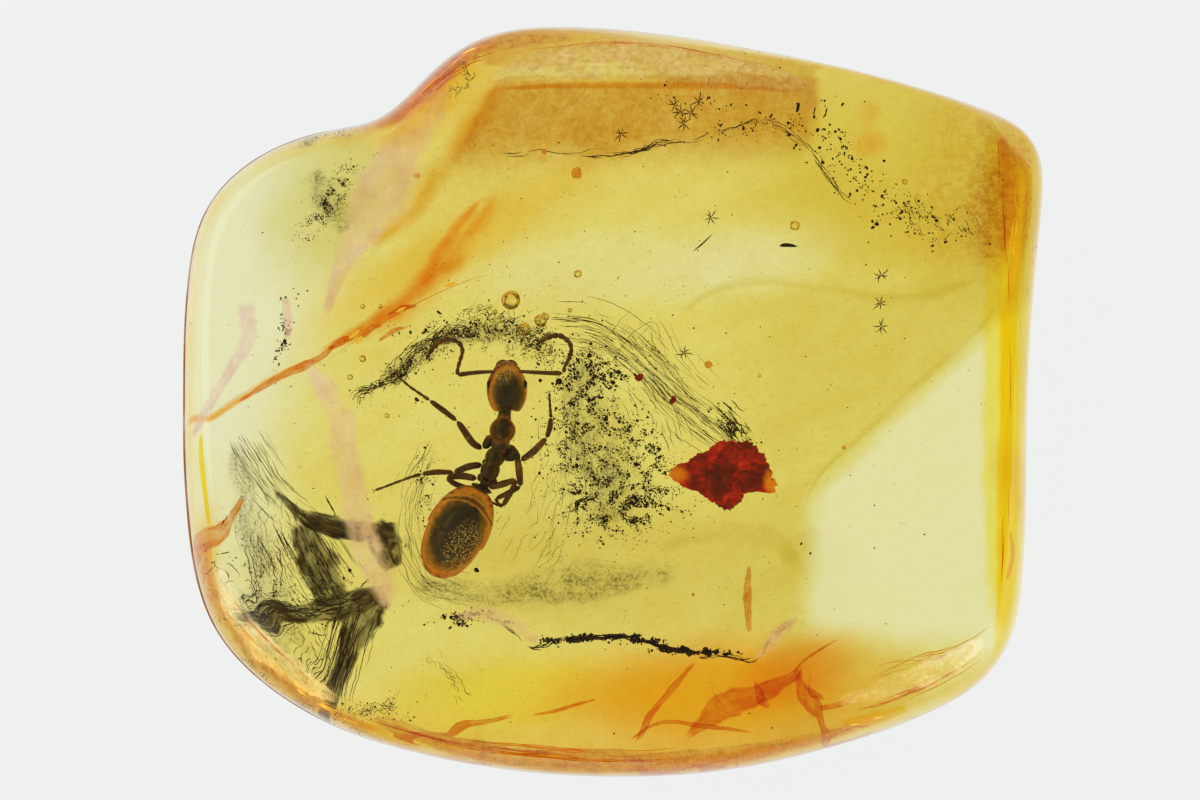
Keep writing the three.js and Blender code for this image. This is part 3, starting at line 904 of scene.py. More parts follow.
def add_scattered(name, grain, drifts, clumping, seed, material):
    """One mesh of many copies of a small body, strewn in drifts and gathered in clumps."""
    body = np.array([v.co[:] for v in grain.verts])
    faces = np.array([[v.index for v in face.verts] for face in grain.faces])
    chance = np.random.default_rng(seed)
    blocks = []
    for centre, spread, turn, (height, high), count, size in drifts:
        turned = math.radians(turn)
        found = 0
        while found < count:
            a, b, c = chance.normal(size=3)
            x = centre[0] + a * spread[0] * math.cos(turned) - b * spread[1] * math.sin(turned)
            y = centre[1] + a * spread[0] * math.sin(turned) + b * spread[1] * math.cos(turned)
            z = height + c * high
            if noise.noise(Vector((x, y, 0)) * clumping) < chance.uniform(-0.25, 0.30):
                continue
            if not inside(x, y, z):
                continue
            found += 1
            axes, _ = np.linalg.qr(chance.normal(size=(3, 3)))
            sizes = size * chance.lognormal(0, 0.42) * chance.uniform(0.6, 1.5, 3)
            blocks.append((body * sizes) @ axes + (x, y, z))
    points = np.concatenate(blocks) * MM
    starts = np.arange(len(blocks))[:, None, None] * len(body)
    mesh = bpy.data.meshes.new(name)
    mesh.from_pydata(points.tolist(), [], (faces[None] + starts).reshape(-1, faces.shape[1]).tolist())
    whole = bmesh.new()
    whole.from_mesh(mesh)
    bpy.data.meshes.remove(mesh)
    bmesh.ops.recalc_face_normals(whole, faces=whole.faces)
    return add_piece(name, whole, material, smooth=False)


grain = bmesh.new()
bmesh.ops.create_icosphere(grain, subdivisions=1, radius=1.0)
for v in grain.verts:
    v.co *= 1 + GRAIN_DENTS * noise.noise(v.co * 3.1)
grain.verts.index_update()
f = Finish("wood_dust")
tone = f.noise(f.place(), 2.2, detail=4.0)
shade = f.ramp(tone, (0.35, (0.012, 0.010, 0.004)), (0.65, (0.085, 0.065, 0.016)))
dusty_brown = f.done(f.shader(Base_Color=shade, Roughness=0.7))
add_scattered("wood_dust", grain, DRIFTS[:12], 4.2, 11, dusty_brown)
add_scattered("fine_dust", grain, DRIFTS[12:], 4.2, 12, dusty_brown)
grain.free()


# ---- Threads and strokes ---------------------------------------------------------------------------
# Fine dark lines where the resin slid over itself round the ant: a tangle above the head, a sweep of
# lines towards the flake, and brush-like strokes at the lower left.


def add_threads(shape, points, spread, count, radius, stray, seed, span=(0.25, 0.8), rings=26, deep=0.25):
    """Thin threads that run beside a path, each over its own part of it and straying its own way."""
    chance = random.Random(seed)
    path = smooth_path(points, 121)
    frames = frames_along(path)
    bundle = bmesh.new()
    for number in range(count):
        length = chance.uniform(*span)
        start = chance.uniform(0, 1 - length)
        aside, above = chance.gauss(0, spread * 0.5), chance.gauss(0, deep)
        thread = []
        for step in range(rings // 2 + 1):
            at = start + length * step / (rings // 2)
            middle, (side, up) = path[round(at * 120)], frames[round(at * 120)]
            wander = noise.noise(Vector((at * 9, number * 3.1, seed))) * stray
            wander += noise.noise(Vector((at * 34, number * 3.1, seed))) * stray * 0.35
            thread.append(middle + side * (aside + wander) + up * above)
        thick = radius * chance.uniform(0.6, 1.5)
        add_limb(bundle, thread, (thick * 0.4, thick, thick * 0.8, thick * 0.3), rings, 4)
    apart = bpy.data.meshes.new("bundle")
    bundle.to_mesh(apart)
    bundle.free()
    shape.from_mesh(apart)
    bpy.data.meshes.remove(apart)


SWEEP = [(-1.45, 1.80, 3.6), (-0.50, 1.68, 3.7), (0.20, 1.34, 3.7), (0.90, 0.74, 3.7), (1.60, 0.02, 3.6),
         (2.42, -0.62, 3.6), (3.05, -1.02, 3.5)]
TANGLE = [(-5.35, 0.35, 3.6), (-4.80, 0.62, 3.6), (-4.55, 1.06, 3.7), (-4.00, 1.40, 3.7),
          (-3.45, 1.62, 3.6), (-3.0, 1.50, 3.6)]
CLOUD = level(3.5, (-3.3, 1.45), (-2.9, 1.85), (-2.45, 1.72), (-2.0, 1.55), (-1.5, 1.35))
HAIRLINE = [(-2.53, 5.66, 3.5), (-2.14, 5.60, 3.5), (-1.55, 5.66, 3.5), (-0.9, 5.60, 3.5),
            (-0.04, 5.62, 3.5), (0.67, 5.73, 3.6), (1.13, 5.92, 3.6), (1.83, 5.94, 3.6), (2.53, 6.15, 3.7),
            (3.35, 6.38, 3.7), (3.93, 6.22, 3.6), (4.40, 5.87, 3.5), (4.75, 5.45, 3.4), (5.33, 4.70, 3.4),
            (5.80, 4.35, 3.4)]
ARC = [(-8.25, -1.15, 3.0), (-7.75, -2.00, 3.0), (-7.00, -2.68, 3.0), (-6.20, -2.95, 3.0),
       (-5.30, -3.05, 3.1)]
# Each bundle: its line, its spread, how many threads, their radius, how far they stray, its seed and
# what share of the line a thread covers; then, where they differ, its rings and how deep it spreads.
BUNDLES = (
    (SWEEP, 0.50, 150, 0.0062, 0.07, 21, (0.03, 0.16), 12),
    (SWEEP, 0.60, 40, 0.0045, 0.08, 36, (0.2, 0.5), 24),
    (level(3.5, (-1.2, 1.45), (-0.3, 1.35), (0.5, 0.6), (1.2, -0.4), (1.5, -1.2)), 0.6, 60, 0.0048, 0.10,
     22, (0.04, 0.2), 12),
    ([(0.1, 0.9, 3.5), (0.9, 1.75, 3.6), (1.3, 0.9, 3.6), (2.3, -0.2, 3.6)], 0.6, 16, 0.004, 0.08, 23,
     (0.1, 0.5)),
    ([(2.35, -0.10, 3.6), (2.75, -0.50, 3.6), (3.10, -0.95, 3.5)], 0.30, 44, 0.011, 0.06, 37, (0.15, 0.5),
     12, 0.1),
    (TANGLE, 0.17, 190, 0.0075, 0.16, 24, (0.02, 0.10), 10),
    (TANGLE, 0.22, 26, 0.0065, 0.10, 25, (0.15, 0.5)),
    (CLOUD, 0.44, 300, 0.0058, 0.30, 38, (0.02, 0.09), 10),
    ([(-4.75, 0.66, 3.6), (-5.2, 0.42, 3.5), (-5.6, 0.22, 3.5), (-5.9, 0.0, 3.5)], 0.10, 40, 0.010, 0.10,
     26, (0.10, 0.35), 12),
    (level(3.4, (-2.1, 1.30), (-1.7, 1.38), (-1.4, 1.15), (-1.5, 0.85)), 0.25, 90, 0.006, 0.2, 27,
     (0.05, 0.2), 10),
    # Fine scribbles at the upper right.
    (level(3.6, (6.4, 4.6), (7.1, 4.2), (7.8, 4.1), (8.5, 4.0)), 0.40, 34, 0.006, 0.25, 48, (0.04, 0.14),
     12),
    # The ant's own halo of flow lines, on its right and beside the gaster.
    (level(3.3, (-0.9, 0.2), (-0.8, -1.2), (-1.2, -2.8), (-2.0, -4.0)), 0.9, 90, 0.0035, 0.14, 28,
     (0.04, 0.25), 14),
    (level(3.3, (-4.0, -0.9), (-4.4, -1.8), (-4.6, -2.9), (-4.1, -4.1), (-3.0, -4.4)), 0.5, 80, 0.0042,
     0.10, 39, (0.05, 0.3), 14),
    (level(3.2, (-0.75, -2.62), (-0.72, -2.35), (-0.45, -2.22), (-0.2, -2.30)), 0.06, 12, 0.012, 0.08, 46,
     (0.3, 0.7), 12, 0.05),
    # The long hairline across the top and the small ones at the left.
    (HAIRLINE, 0.03, 46, 0.008, 0.16, 29, (0.02, 0.12), 12, 0.05),
    (HAIRLINE[4:8], 0.05, 16, 0.008, 0.08, 30, (0.1, 0.4), 14, 0.05),
    (level(3.6, (-3.12, 7.50), (-3.30, 7.26), (-3.42, 7.22), (-3.77, 6.92)), 0.10, 30, 0.005, 0.14, 31,
     (0.05, 0.22), 10, 0.05),
    (level(2.6, (-8.3, -3.0), (-8.1, -3.8), (-8.05, -4.55)), 0.6, 5, 0.008, 0.12, 33, (0.5, 0.9)),
    (level(3.0, (-5.9, -7.05), (-5.3, -6.8), (-4.7, -6.7)), 0.12, 30, 0.006, 0.15, 34, (0.1, 0.3), 10),
    (level(3.0, (-4.1, -5.7), (-3.7, -6.3), (-3.3, -6.9)), 0.2, 24, 0.0045, 0.15, 35, (0.1, 0.3), 10),
    # Strokes of the lower-left smear.
    (ARC, 0.34, 50, 0.006, 0.05, 40, (0.06, 0.30), 14, 0.15),
    (level(2.9, (-8.6, -0.7), (-8.25, -1.3), (-7.75, -2.0), (-7.2, -2.5)), 0.50, 50, 0.005, 0.03, 49,
     (0.10, 0.45), 12, 0.1),
    (level(3.0, (-7.45, -2.40), (-7.00, -3.30), (-6.55, -4.05), (-6.10, -4.65)), 0.80, 90, 0.009, 0.04, 41,
     (0.06, 0.45), 14, 0.2),
    (level(3.0, (-8.60, -4.72), (-7.90, -4.68), (-7.30, -4.85), (-6.50, -4.80), (-5.60, -4.55),
           (-5.30, -4.35)), 0.30, 150, 0.010, 0.14, 42, (0.03, 0.14), 12, 0.15),
    ([(-5.75, -4.55, 3.0), (-6.05, -5.40, 3.0), (-6.28, -6.30, 3.0), (-6.35, -6.95, 2.9)], 0.55, 60, 0.009,
     0.04, 43, (0.1, 0.7), 18, 0.2),
    ([(-7.5, -5.0, 3.0), (-7.3, -5.6, 2.9), (-6.8, -6.4, 2.8)], 1.1, 70, 0.0055, 0.06, 44, (0.08, 0.35),
     12),
    (level(2.8, (-7.9, -1.9), (-8.0, -3.2), (-7.4, -4.4)), 0.9, 90, 0.005, 0.14, 47, (0.05, 0.3), 12),
)
threads = bmesh.new()
for bundle in BUNDLES:
    add_threads(threads, *bundle)
f = Finish("slip_lines")
tone = f.noise(f.place(), 1.6, detail=4.0)
olive = f.ramp(tone, (0.35, (0.035, 0.024, 0.005)), (0.65, (0.19, 0.14, 0.026)))
add_piece("slip_lines", threads, f.done(f.shader(
    Base_Color=olive, Roughness=0.6, Specular_IOR_Level=0.15)))


# ---- Films -----------------------------------------------------------------------------------------
# Skins inside the resin, each a strip thinner than paper: a brown smear at the lower left, veils of
# dust, pale ribbons of tiny bubbles, and orange-stained cracks.


def add_sheet(shape, points, widths, along=64, across=8, lean=0.0, ripple=0.03, ragged=0.25, seed=0):
    """A thin strip along a path, flat or leaning over by so many degrees. Its UV runs along and
    across it."""
    if not shape.loops.layers.uv:
        shape.loops.layers.uv.new("UVMap")
    path = smooth_path(points, along + 1)
    frames = frames_along(path)
    run = sum((q - p).length for p, q in zip(path, path[1:]))
    tilt = math.radians(lean)
    made = bmesh.ops.create_grid(
        shape, x_segments=along, y_segments=across, size=1.0, calc_uvs=True)["verts"]
    for v in made:
        share, aside = (v.co.x + 1) / 2, v.co.y
        side, up = frames[round(share * along)]
        half = float(np.interp(share, np.linspace(0, 1, len(widths)), widths)) / 2
        half *= 1 + ragged * noise.noise(Vector((share * run * 1.7, aside * 0.4 + seed, seed * 2.3)))
        half *= 1 + ragged * 0.5 * noise.noise(Vector((share * run * 6.0, aside * 0.4 + seed, seed)))
        out = side * math.cos(tilt) + up * math.sin(tilt)
        lift = ripple * noise.noise(Vector((share * run * 1.3, aside * half * 3, seed)))
        v.co = (path[round(share * along)] + out * aside * half + up * lift) * MM


def film_share(f, low, high, along, across, edge=0.5, grain=0.45, cloud=1.4):
    """How dense a film is: streaked along its strip, cloudy, and fading out at its edges."""
    uv = f.node("ShaderNodeTexCoord", output="UV")
    u, v, _ = f.axes(uv)
    here = f.place()
    clouds = f.noise(here, cloud, detail=5.0, roughness=0.6)
    drawn_out = f.node("ShaderNodeCombineXYZ", {}, {0: u * along, 1: v * across, 2: clouds * 2.0})
    streak = f.noise(drawn_out, 1.0, detail=4.0, roughness=0.6)
    far = (0.5 - (v - 0.5).size()) * 2 + (clouds - 0.5) * grain
    ends = (0.5 - (u - 0.5).size()).step(0.0, 0.08)
    mix = (streak * 0.6 + clouds * 0.4).step(0.40, 0.60)
    return far.step(0.0, edge) * ends * (low + mix * (high - low))


# The smear: arcs, a fan and a long triangle of brown film.
smear = bmesh.new()
add_sheet(smear, ARC[1:], (0.06, 0.30, 0.50, 0.40), seed=1)
add_sheet(smear, level(2.9, (-7.0, -2.60), (-6.3, -2.86), (-5.5, -3.00), (-4.8, -2.95)),
          (0.30, 0.55, 0.60, 0.45), seed=2)
add_sheet(smear, level(3.0, (-5.45, -2.75), (-5.2, -3.25), (-4.95, -3.85)), (0.6, 0.85, 0.5), seed=3)
add_sheet(smear, level(2.8, (-7.15, -2.75), (-6.75, -3.60), (-6.35, -4.70)), (0.5, 1.05, 0.9), seed=4)
add_sheet(smear, level(2.9, (-8.55, -4.72), (-7.90, -4.72), (-7.20, -4.86), (-6.30, -4.74), (-5.55, -4.50),
                       (-5.05, -4.36)), (0.15, 0.42, 0.50, 0.62, 0.75, 0.3), seed=5)
add_sheet(smear, [(-5.35, -4.30, 3.0), (-5.70, -5.00, 3.0), (-6.05, -5.80, 3.0), (-6.30, -6.60, 3.0),
                  (-6.35, -7.05, 2.8)], (0.9, 1.15, 0.62, 0.38, 0.2), seed=6)
f = Finish("brown_smear")
dense = film_share(f, 0.62, 1.0, 4.0, 9.0, 0.28, 0.6, 2.2)
tone = f.noise(f.place(), 1.8, detail=5.0)
shade = f.ramp(tone, (0.35, (0.035, 0.022, 0.003)), (0.68, (0.16, 0.10, 0.012)))
# Its emission is a painted glow, as of light coming through the film.
add_piece("brown_smear", smear, f.done(f.shader(
    Base_Color=shade, Roughness=0.6, Specular_IOR_Level=0.1, Alpha=dense, Emission_Color=shade,
    Emission_Strength=0.12)))

# Veils of fine dust that darken the resin round the grains.
veils = bmesh.new()
add_sheet(veils, [(-0.75, 1.15, 3.2), (-0.55, 0.0, 3.2), (-0.15, -1.4, 3.2), (0.25, -2.9, 3.1)],
          (1.0, 1.7, 2.5, 1.8), across=16, seed=11)
add_sheet(veils, level(3.3, (-5.3, 0.4), (-4.55, 0.95), (-3.6, 1.45), (-2.4, 1.65), (-1.5, 1.6)),
          (0.35, 0.7, 0.85, 0.7, 0.4), across=12, seed=12)
add_sheet(veils, level(2.5, (-8.6, -0.9), (-8.2, -3.0), (-7.6, -5.0), (-6.4, -6.6)),
          (0.4, 1.1, 1.2, 0.4), across=16, seed=13)
add_sheet(veils, level(2.8, (-6.9, 5.3), (-6.45, 4.6), (-6.0, 3.9)), (0.6, 1.1, 0.6), across=12, seed=14)
add_sheet(veils, level(2.6, (-4.6, -4.2), (-3.0, -4.4), (-0.8, -4.2), (1.6, -3.9)),
          (0.6, 1.0, 1.4, 0.5), across=12, seed=15)
f = Finish("dust_veil")
dense = film_share(f, 0.20, 0.72, 5.0, 5.0, 0.9, 0.6, 2.6)
fine = f.noise(f.place(), 16.0, detail=3.0).step(0.40, 0.62)
add_piece("dust_veils", veils, f.done(f.shader(
    Base_Color=(0.24, 0.19, 0.04), Roughness=0.8, Specular_IOR_Level=0.1,
    Alpha=dense * (0.35 + fine * 0.65))))

# Pale ribbons: sheets of bubbles too small to see, pinkish against the yellow.
RIBBONS = (
    (level(4.5, (-3.62, 7.42), (-4.07, 6.80), (-4.52, 6.10), (-5.03, 5.17), (-5.59, 4.12), (-6.06, 3.26),
           (-6.38, 2.37), (-6.50, 1.79)),
     (0.30, 0.80, 1.0, 1.35, 1.25, 0.60, 0.36, 0.14)),
    ([(-6.99, 0.92, 4.4), (-6.57, 0.39, 4.4), (-6.15, -0.43, 4.4), (-5.96, -1.60, 4.3), (-5.78, -2.53, 4.3),
      (-5.54, -3.42, 4.2), (-5.12, -4.40, 4.1), (-4.86, -4.80, 4.1)],
     (0.22, 0.55, 0.70, 0.55, 0.65, 0.72, 0.75, 0.25)),
    ([(-8.44, 2.32, 4.1), (-8.27, 1.67, 4.1), (-8.39, 1.20, 4.1), (-8.80, 0.55, 4.1), (-9.15, -0.04, 4.0),
      (-9.44, -0.95, 3.7)],
     (0.35, 0.42, 0.30, 0.26, 0.20, 0.1)),
    (level(3.9, (-7.45, 2.40), (-7.38, 1.80), (-7.35, 1.40)), (0.16, 0.26, 0.12)),
    (level(3.7, (-3.5, -4.92), (-2.91, -4.82), (-2.30, -5.02), (-1.60, -5.50)), (0.15, 0.30, 0.34, 0.15)),
    (level(3.8, (3.3, -5.86), (3.6, -5.55), (3.95, -5.15), (4.3, -4.88)), (0.12, 0.35, 0.28, 0.1)),
)
RIBBON_SPREAD = 1.3
ribbons = bmesh.new()
for number, (points, widths) in enumerate(RIBBONS):
    add_sheet(ribbons, points, [w * RIBBON_SPREAD for w in widths], 96, 12, lean=14, ripple=0.09,
              ragged=0.22, seed=20 + number)
f = Finish("bubble_film")
milky = film_share(f, 0.50, 0.90, 7.0, 2.5, 0.62, 0.7, 2.4)
tone = f.ramp(f.noise(f.place(), 1.1, detail=4.0), (0.35, (0.80, 0.56, 0.48)), (0.65, (0.93, 0.77, 0.70)))
# The emission is a painted glow of the light that the tiny bubbles scatter.
add_piece("pale_ribbons", ribbons, f.done(f.shader(
    Base_Color=tone, Roughness=0.6, Alpha=milky, Emission_Color=tone, Emission_Strength=0.60,
    Normal=f.bump(f.noise(f.place(), 4.0, detail=4.0), 0.5, 0.04))))


# ---- Stained cracks --------------------------------------------------------------------------------
# Old cracks that let air in and turned orange, most of them on edge, and a dark one along the join of
# two flows under the ant.

FLAT_STAINS = (
    (level(3.2, (-6.45, 1.18), (-6.15, 1.36), (-5.85, 1.46)), (0.10, 0.26, 0.08)),
    (level(3.2, (-5.75, 1.42), (-5.45, 1.66), (-5.20, 1.72)), (0.06, 0.20, 0.08)),
    (level(3.2, (-5.30, 1.36), (-4.95, 1.60), (-4.60, 1.70)), (0.06, 0.14, 0.05)),
    (level(3.2, (-5.10, 1.95), (-4.75, 2.12), (-4.40, 2.18)), (0.06, 0.16, 0.05)),
    ([(1.72, -7.70, 3.2), (2.40, -7.10, 3.3), (3.20, -6.72, 3.4), (4.10, -6.30, 3.4), (4.40, -5.95, 3.4)],
     (0.15, 0.62, 0.70, 0.45, 0.15)),
    (level(3.0, (-9.50, -4.20), (-9.10, -3.45), (-8.60, -2.55), (-8.40, -2.15)), (0.1, 0.45, 0.35, 0.1)),
)
# Each crack on edge: its line, and how deep it reaches at its ends and middle.
EDGE_CRACKS = (
    (level(3.4, (3.19, -3.70), (3.16, -4.40), (3.19, -5.29)), (0.3, 1.0, 0.4)),
    ([(1.95, -5.92, 3.2), (1.41, -6.59, 3.1), (1.02, -7.08, 3.0), (0.67, -7.78, 2.8)],
     (0.5, 1.4, 1.2, 0.6)),
    (level(3.4, (4.17, -6.22), (4.40, -5.92), (4.75, -5.68), (5.22, -5.40)), (0.4, 1.0, 0.8, 0.2)),
    ([(4.28, -6.15, 3.4), (4.40, -6.62, 3.3), (4.75, -6.97, 3.2), (4.82, -7.32, 3.1)],
     (0.6, 1.2, 1.0, 0.4)),
    (level(3.2, (4.75, -6.97), (5.29, -6.83), (5.68, -6.57)), (0.6, 0.7, 0.2)),
    (level(3.2, (0.48, -4.63), (0.34, -4.91), (0.20, -5.22)), (0.3, 0.7, 0.3)),
    (level(2.9, (-6.34, -6.97), (-5.64, -7.48), (-4.00, -7.39), (-2.95, -7.34), (-2.14, -7.15)),
     (0.2, 0.5, 0.7, 0.5, 0.2)),
    (level(2.9, (-1.79, -7.15), (-1.20, -7.04), (-0.27, -6.78)), (0.2, 0.6, 0.2)),
    ([(2.3, -6.6, 3.3), (2.6, -7.0, 3.2), (2.75, -7.25, 3.2)], (0.3, 0.8, 0.3)),
    ([(3.3, -6.4, 3.3), (3.45, -6.8, 3.2), (3.65, -7.0, 3.2)], (0.3, 0.8, 0.3)),
    (level(3.0, (0.45, -7.75), (1.2, -7.35), (2.2, -7.45), (3.3, -7.55)), (0.2, 0.5, 0.6, 0.2)),
    ([(-6.57, 0.80, 3.3), (-6.10, 1.18, 3.3), (-5.17, 1.81, 3.4), (-4.24, 2.32, 3.5), (-3.30, 2.74, 3.6),
      (-2.32, 3.04, 3.6)], (0.15, 0.4, 0.6, 0.5, 0.4, 0.1)),
    ([(-8.6, -0.05, 3.1), (-7.6, 0.55, 3.1), (-6.7, 0.95, 3.2), (-6.2, 1.35, 3.2)], (0.2, 0.6, 0.7, 0.2)),
    ([(9.05, -1.7, 3.2), (9.3, -1.95, 3.1), (9.0, -2.4, 3.0)], (0.2, 0.6, 0.2)),
    ([(4.6, -6.2, 3.4), (4.55, -6.55, 3.3), (4.9, -6.75, 3.2)], (0.3, 0.7, 0.2)),
)

stains = bmesh.new()
for number, (points, widths) in enumerate(FLAT_STAINS):
    add_sheet(stains, points, widths, 80, 12, lean=20, ripple=0.06, ragged=0.4, seed=40 + number)
for number, (points, depths) in enumerate(EDGE_CRACKS):
    add_sheet(stains, points, depths, 48, 6, lean=80 + (number % 3 - 1) * 8, ripple=0.0, ragged=0.3,
              seed=60 + number)
f = Finish("orange_stain")
dense = film_share(f, 0.55, 1.0, 5.0, 4.0, 0.30, 0.7, 2.6)
add_piece("stained_cracks", stains, f.done(f.filtering(dense, (0.80, 0.33, 0.03))))

seam = bmesh.new()
add_threads(seam, SEAM, 0.02, 80, 0.010, 0.10, 81, (0.02, 0.08), 12, 0.08)
add_threads(seam, SEAM[7:15], 0.06, 30, 0.015, 0.14, 82, (0.02, 0.07), 10, 0.10)
add_threads(seam, SEAM[7:15], 0.03, 50, 0.012, 0.06, 83, (0.06, 0.3), 14, 0.05)
f = Finish("seam_crust")
tone = f.noise(f.place(), 2.4, detail=5.0)
sooty = f.ramp(tone, (0.35, (0.010, 0.008, 0.005)), (0.62, (0.17, 0.075, 0.02)))
add_piece("dark_seam", seam, f.done(f.shader(Base_Color=sooty, Roughness=0.7)))


# ---- Weathered skin --------------------------------------------------------------------------------
# What polishing left of the crust: matt, hazy strips that lie in the rim just under the surface, at
# the top, the bottom and the two lower corners.

RIM_TUCK = 0.97  # how much nearer the middle each strip lies than its drawn line


def on_top(x, y, depth):
    """The point so far under the stone's top face, in mm, or None beyond its outline."""
    hit = skin_tree.ray_cast(Vector((x, y, 20)) * MM, Vector((0, 0, -1)))[0]
    return hit / MM - Vector((0, 0, depth)) if hit else None


def add_skin(shape, points, widths, depth, seed, along=120, across=14, ragged=0.3):
    """A strip laid against the stone's top face, just inside it."""
    before = len(shape.verts)
    add_sheet(shape, points, widths, along, across, ragged=ragged, seed=seed)
    shape.verts.ensure_lookup_table()
    for v in list(shape.verts)[before:]:
        x, y = v.co.x / MM * RIM_TUCK, v.co.y / MM * RIM_TUCK
        for _ in range(40):
            spot = on_top(x, y, depth)
            if spot and spot.z > 1.2:
                break
            x, y = x * 0.985, y * 0.985
        v.co = Vector((x * 0.995, y * 0.995, spot.z)) * MM


def skin_with_painted_light(name, light, dark, low, high, along, across, glow):
    f = Finish(name)
    dense = film_share(f, low, high, along, across, 0.35, 0.5, 1.6)
    mottle = f.noise(f.place(), 6.0, detail=5.0, roughness=0.7)
    tone = f.blend(mottle.step(0.38, 0.60), dark, light)
    # The emission is a painted glow.
    return f.done(f.shader(
        Base_Color=tone, Roughness=0.55, Alpha=dense, Emission_Color=tone, Emission_Strength=glow))


crust = bmesh.new()
add_skin(crust, level(0, (-3.0, 7.50), (-1.6, 7.92), (0.2, 8.02), (2.0, 7.86), (3.6, 7.60), (5.0, 7.26)),
         (0.30, 0.80, 1.0, 0.95, 0.75, 0.2), 0.06, 91)
add_piece("crust_band", crust, skin_with_painted_light(
    "hazy_crust", (0.95, 0.82, 0.58), (0.80, 0.50, 0.20), 0.25, 0.85, 9.0, 7.0, 0.46))

rind = bmesh.new()
add_skin(rind, level(0, (-5.9, -7.45), (-4.0, -8.02), (-2.25, -8.35), (-0.27, -8.48), (2.07, -8.38),
                     (4.4, -7.98), (6.0, -7.55)), (0.3, 0.5, 0.62, 0.66, 0.6, 0.45, 0.2), 0.06, 93)
add_skin(rind, level(0, (-9.75, -3.2), (-9.5, -4.6), (-8.7, -5.9), (-7.3, -7.0), (-5.9, -7.6)),
         (0.2, 0.35, 0.4, 0.4, 0.2), 0.06, 94)
add_skin(rind, level(0, (-5.4, 6.55), (-4.6, 7.15), (-3.7, 7.95), (-2.6, 8.45), (-0.8, 8.60)),
         (0.2, 0.45, 0.50, 0.35, 0.2), 0.06, 95)
add_piece("orange_rind", rind, skin_with_painted_light(
    "orange_rind", (0.92, 0.66, 0.24), (0.66, 0.32, 0.05), 0.30, 0.85, 14.0, 3.0, 0.40))

# Pale haze along the two lower bevels: partly the matt haze of polishing, partly a painted reflection of
# the pale table round the stone, with a painted glow.
bevel = bmesh.new()
add_skin(bevel, level(0, (-9.35, -3.7), (-9.05, -4.75), (-8.35, -5.75), (-7.4, -6.55), (-6.4, -7.1)),
         (0.2, 0.65, 0.80, 0.62, 0.2), 0.05, 96)
add_skin(bevel, level(0, (5.2, -7.05), (6.2, -6.80), (7.2, -6.45), (8.1, -6.0), (8.8, -5.5)),
         (0.2, 0.5, 0.7, 0.6, 0.2), 0.06, 92)
add_piece("bevel_haze_and_painted_reflection", bevel, skin_with_painted_light(
    "bevel_haze_and_painted_reflection", (0.97, 0.95, 0.74), (0.93, 0.74, 0.42), 0.25, 0.85, 4.0, 3.0, 0.70))


# ---- Soft flows ------------------------------------------------------------------------------------
# Thin layers of darker resin between the flows: orange at the upper left, yellow down the right edge
# and at the corners, and faint olive where two flows meet on the right.


def add_flows(name, paths, colour, low, high, seed, edge=1.0, grain=0.25, skin=None):
    """A piece of soft coloured layers; a skin depth lays them against the stone's top face."""
    layers = bmesh.new()
    for number, (points, widths) in enumerate(paths):
        if skin:
            add_skin(layers, [(x, y, 0) for x, y in points], widths, skin, seed + number, ragged=0.2)
        else:
            add_sheet(layers, points, widths, 72, 10, ragged=0.25, seed=seed + number)
    f = Finish(name)
    share = film_share(f, low, high, 3.0, 2.0, edge, grain)
    add_piece(name, layers, f.done(f.filtering(share, colour)))


add_flows("orange_flows", (
    (level(2.6, (-2.40, 7.40), (-2.98, 6.55), (-3.91, 5.31), (-4.52, 4.38), (-5.54, 3.47)),
     (0.8, 1.0, 0.9, 0.8, 0.4)),
    ([(-2.46, 4.80, 2.8), (-3.49, 3.35, 2.8), (-4.30, 2.50, 2.8), (-5.15, 1.81, 2.9), (-6.3, 1.30, 2.9)],
     (0.5, 0.8, 1.1, 0.9, 0.3)),
    (level(2.9, (-3.20, 3.35), (-4.15, 2.72), (-5.05, 2.08), (-5.9, 1.55)), (0.4, 0.7, 0.6, 0.2)),
), (0.95, 0.62, 0.16), 0.5, 1.0, 120)
add_flows("orange_streak", (
    (level(3.0, (-9.30, -0.60), (-8.75, -0.10), (-7.9, 0.42), (-7.2, 0.76), (-6.6, 0.98)),
     (0.14, 0.24, 0.30, 0.26, 0.16)),
    (level(3.1, (-6.75, 1.08), (-6.10, 1.40), (-5.4, 1.80), (-4.75, 2.20), (-4.2, 2.85), (-3.8, 3.5),
           (-3.3, 4.2), (-2.8, 4.75)), (0.15, 0.36, 0.50, 0.66, 0.66, 0.50, 0.38, 0.1)),
), (0.97, 0.50, 0.04), 0.65, 1.0, 125, 0.9, 0.6)
add_flows("edge_yellow", (
    ([(9.24, 2.6), (9.28, 0.6), (9.26, -1.8), (9.22, -4.2), (9.05, -5.6)], (0.40, 0.62, 0.66, 0.66, 0.4)),
    ([(9.45, 6.2), (9.60, 5.0), (9.45, 3.4), (9.3, 2.2)], (0.30, 0.40, 0.36, 0.3)),
    ([(-9.72, -0.70), (-9.70, -1.40), (-9.60, -2.30), (-9.5, -3.0)], (0.10, 0.17, 0.15, 0.1)),
    ([(5.35, -7.55), (6.10, -7.42), (6.95, -7.15)], (0.22, 0.42, 0.2)),
    ([(-5.0, 6.75), (-4.2, 7.45), (-3.4, 8.1), (-2.5, 8.42)], (0.14, 0.20, 0.18, 0.1)),
), (1.0, 0.82, 0.01), 1.0, 1.0, 130, 0.5, 0.3, 0.10)
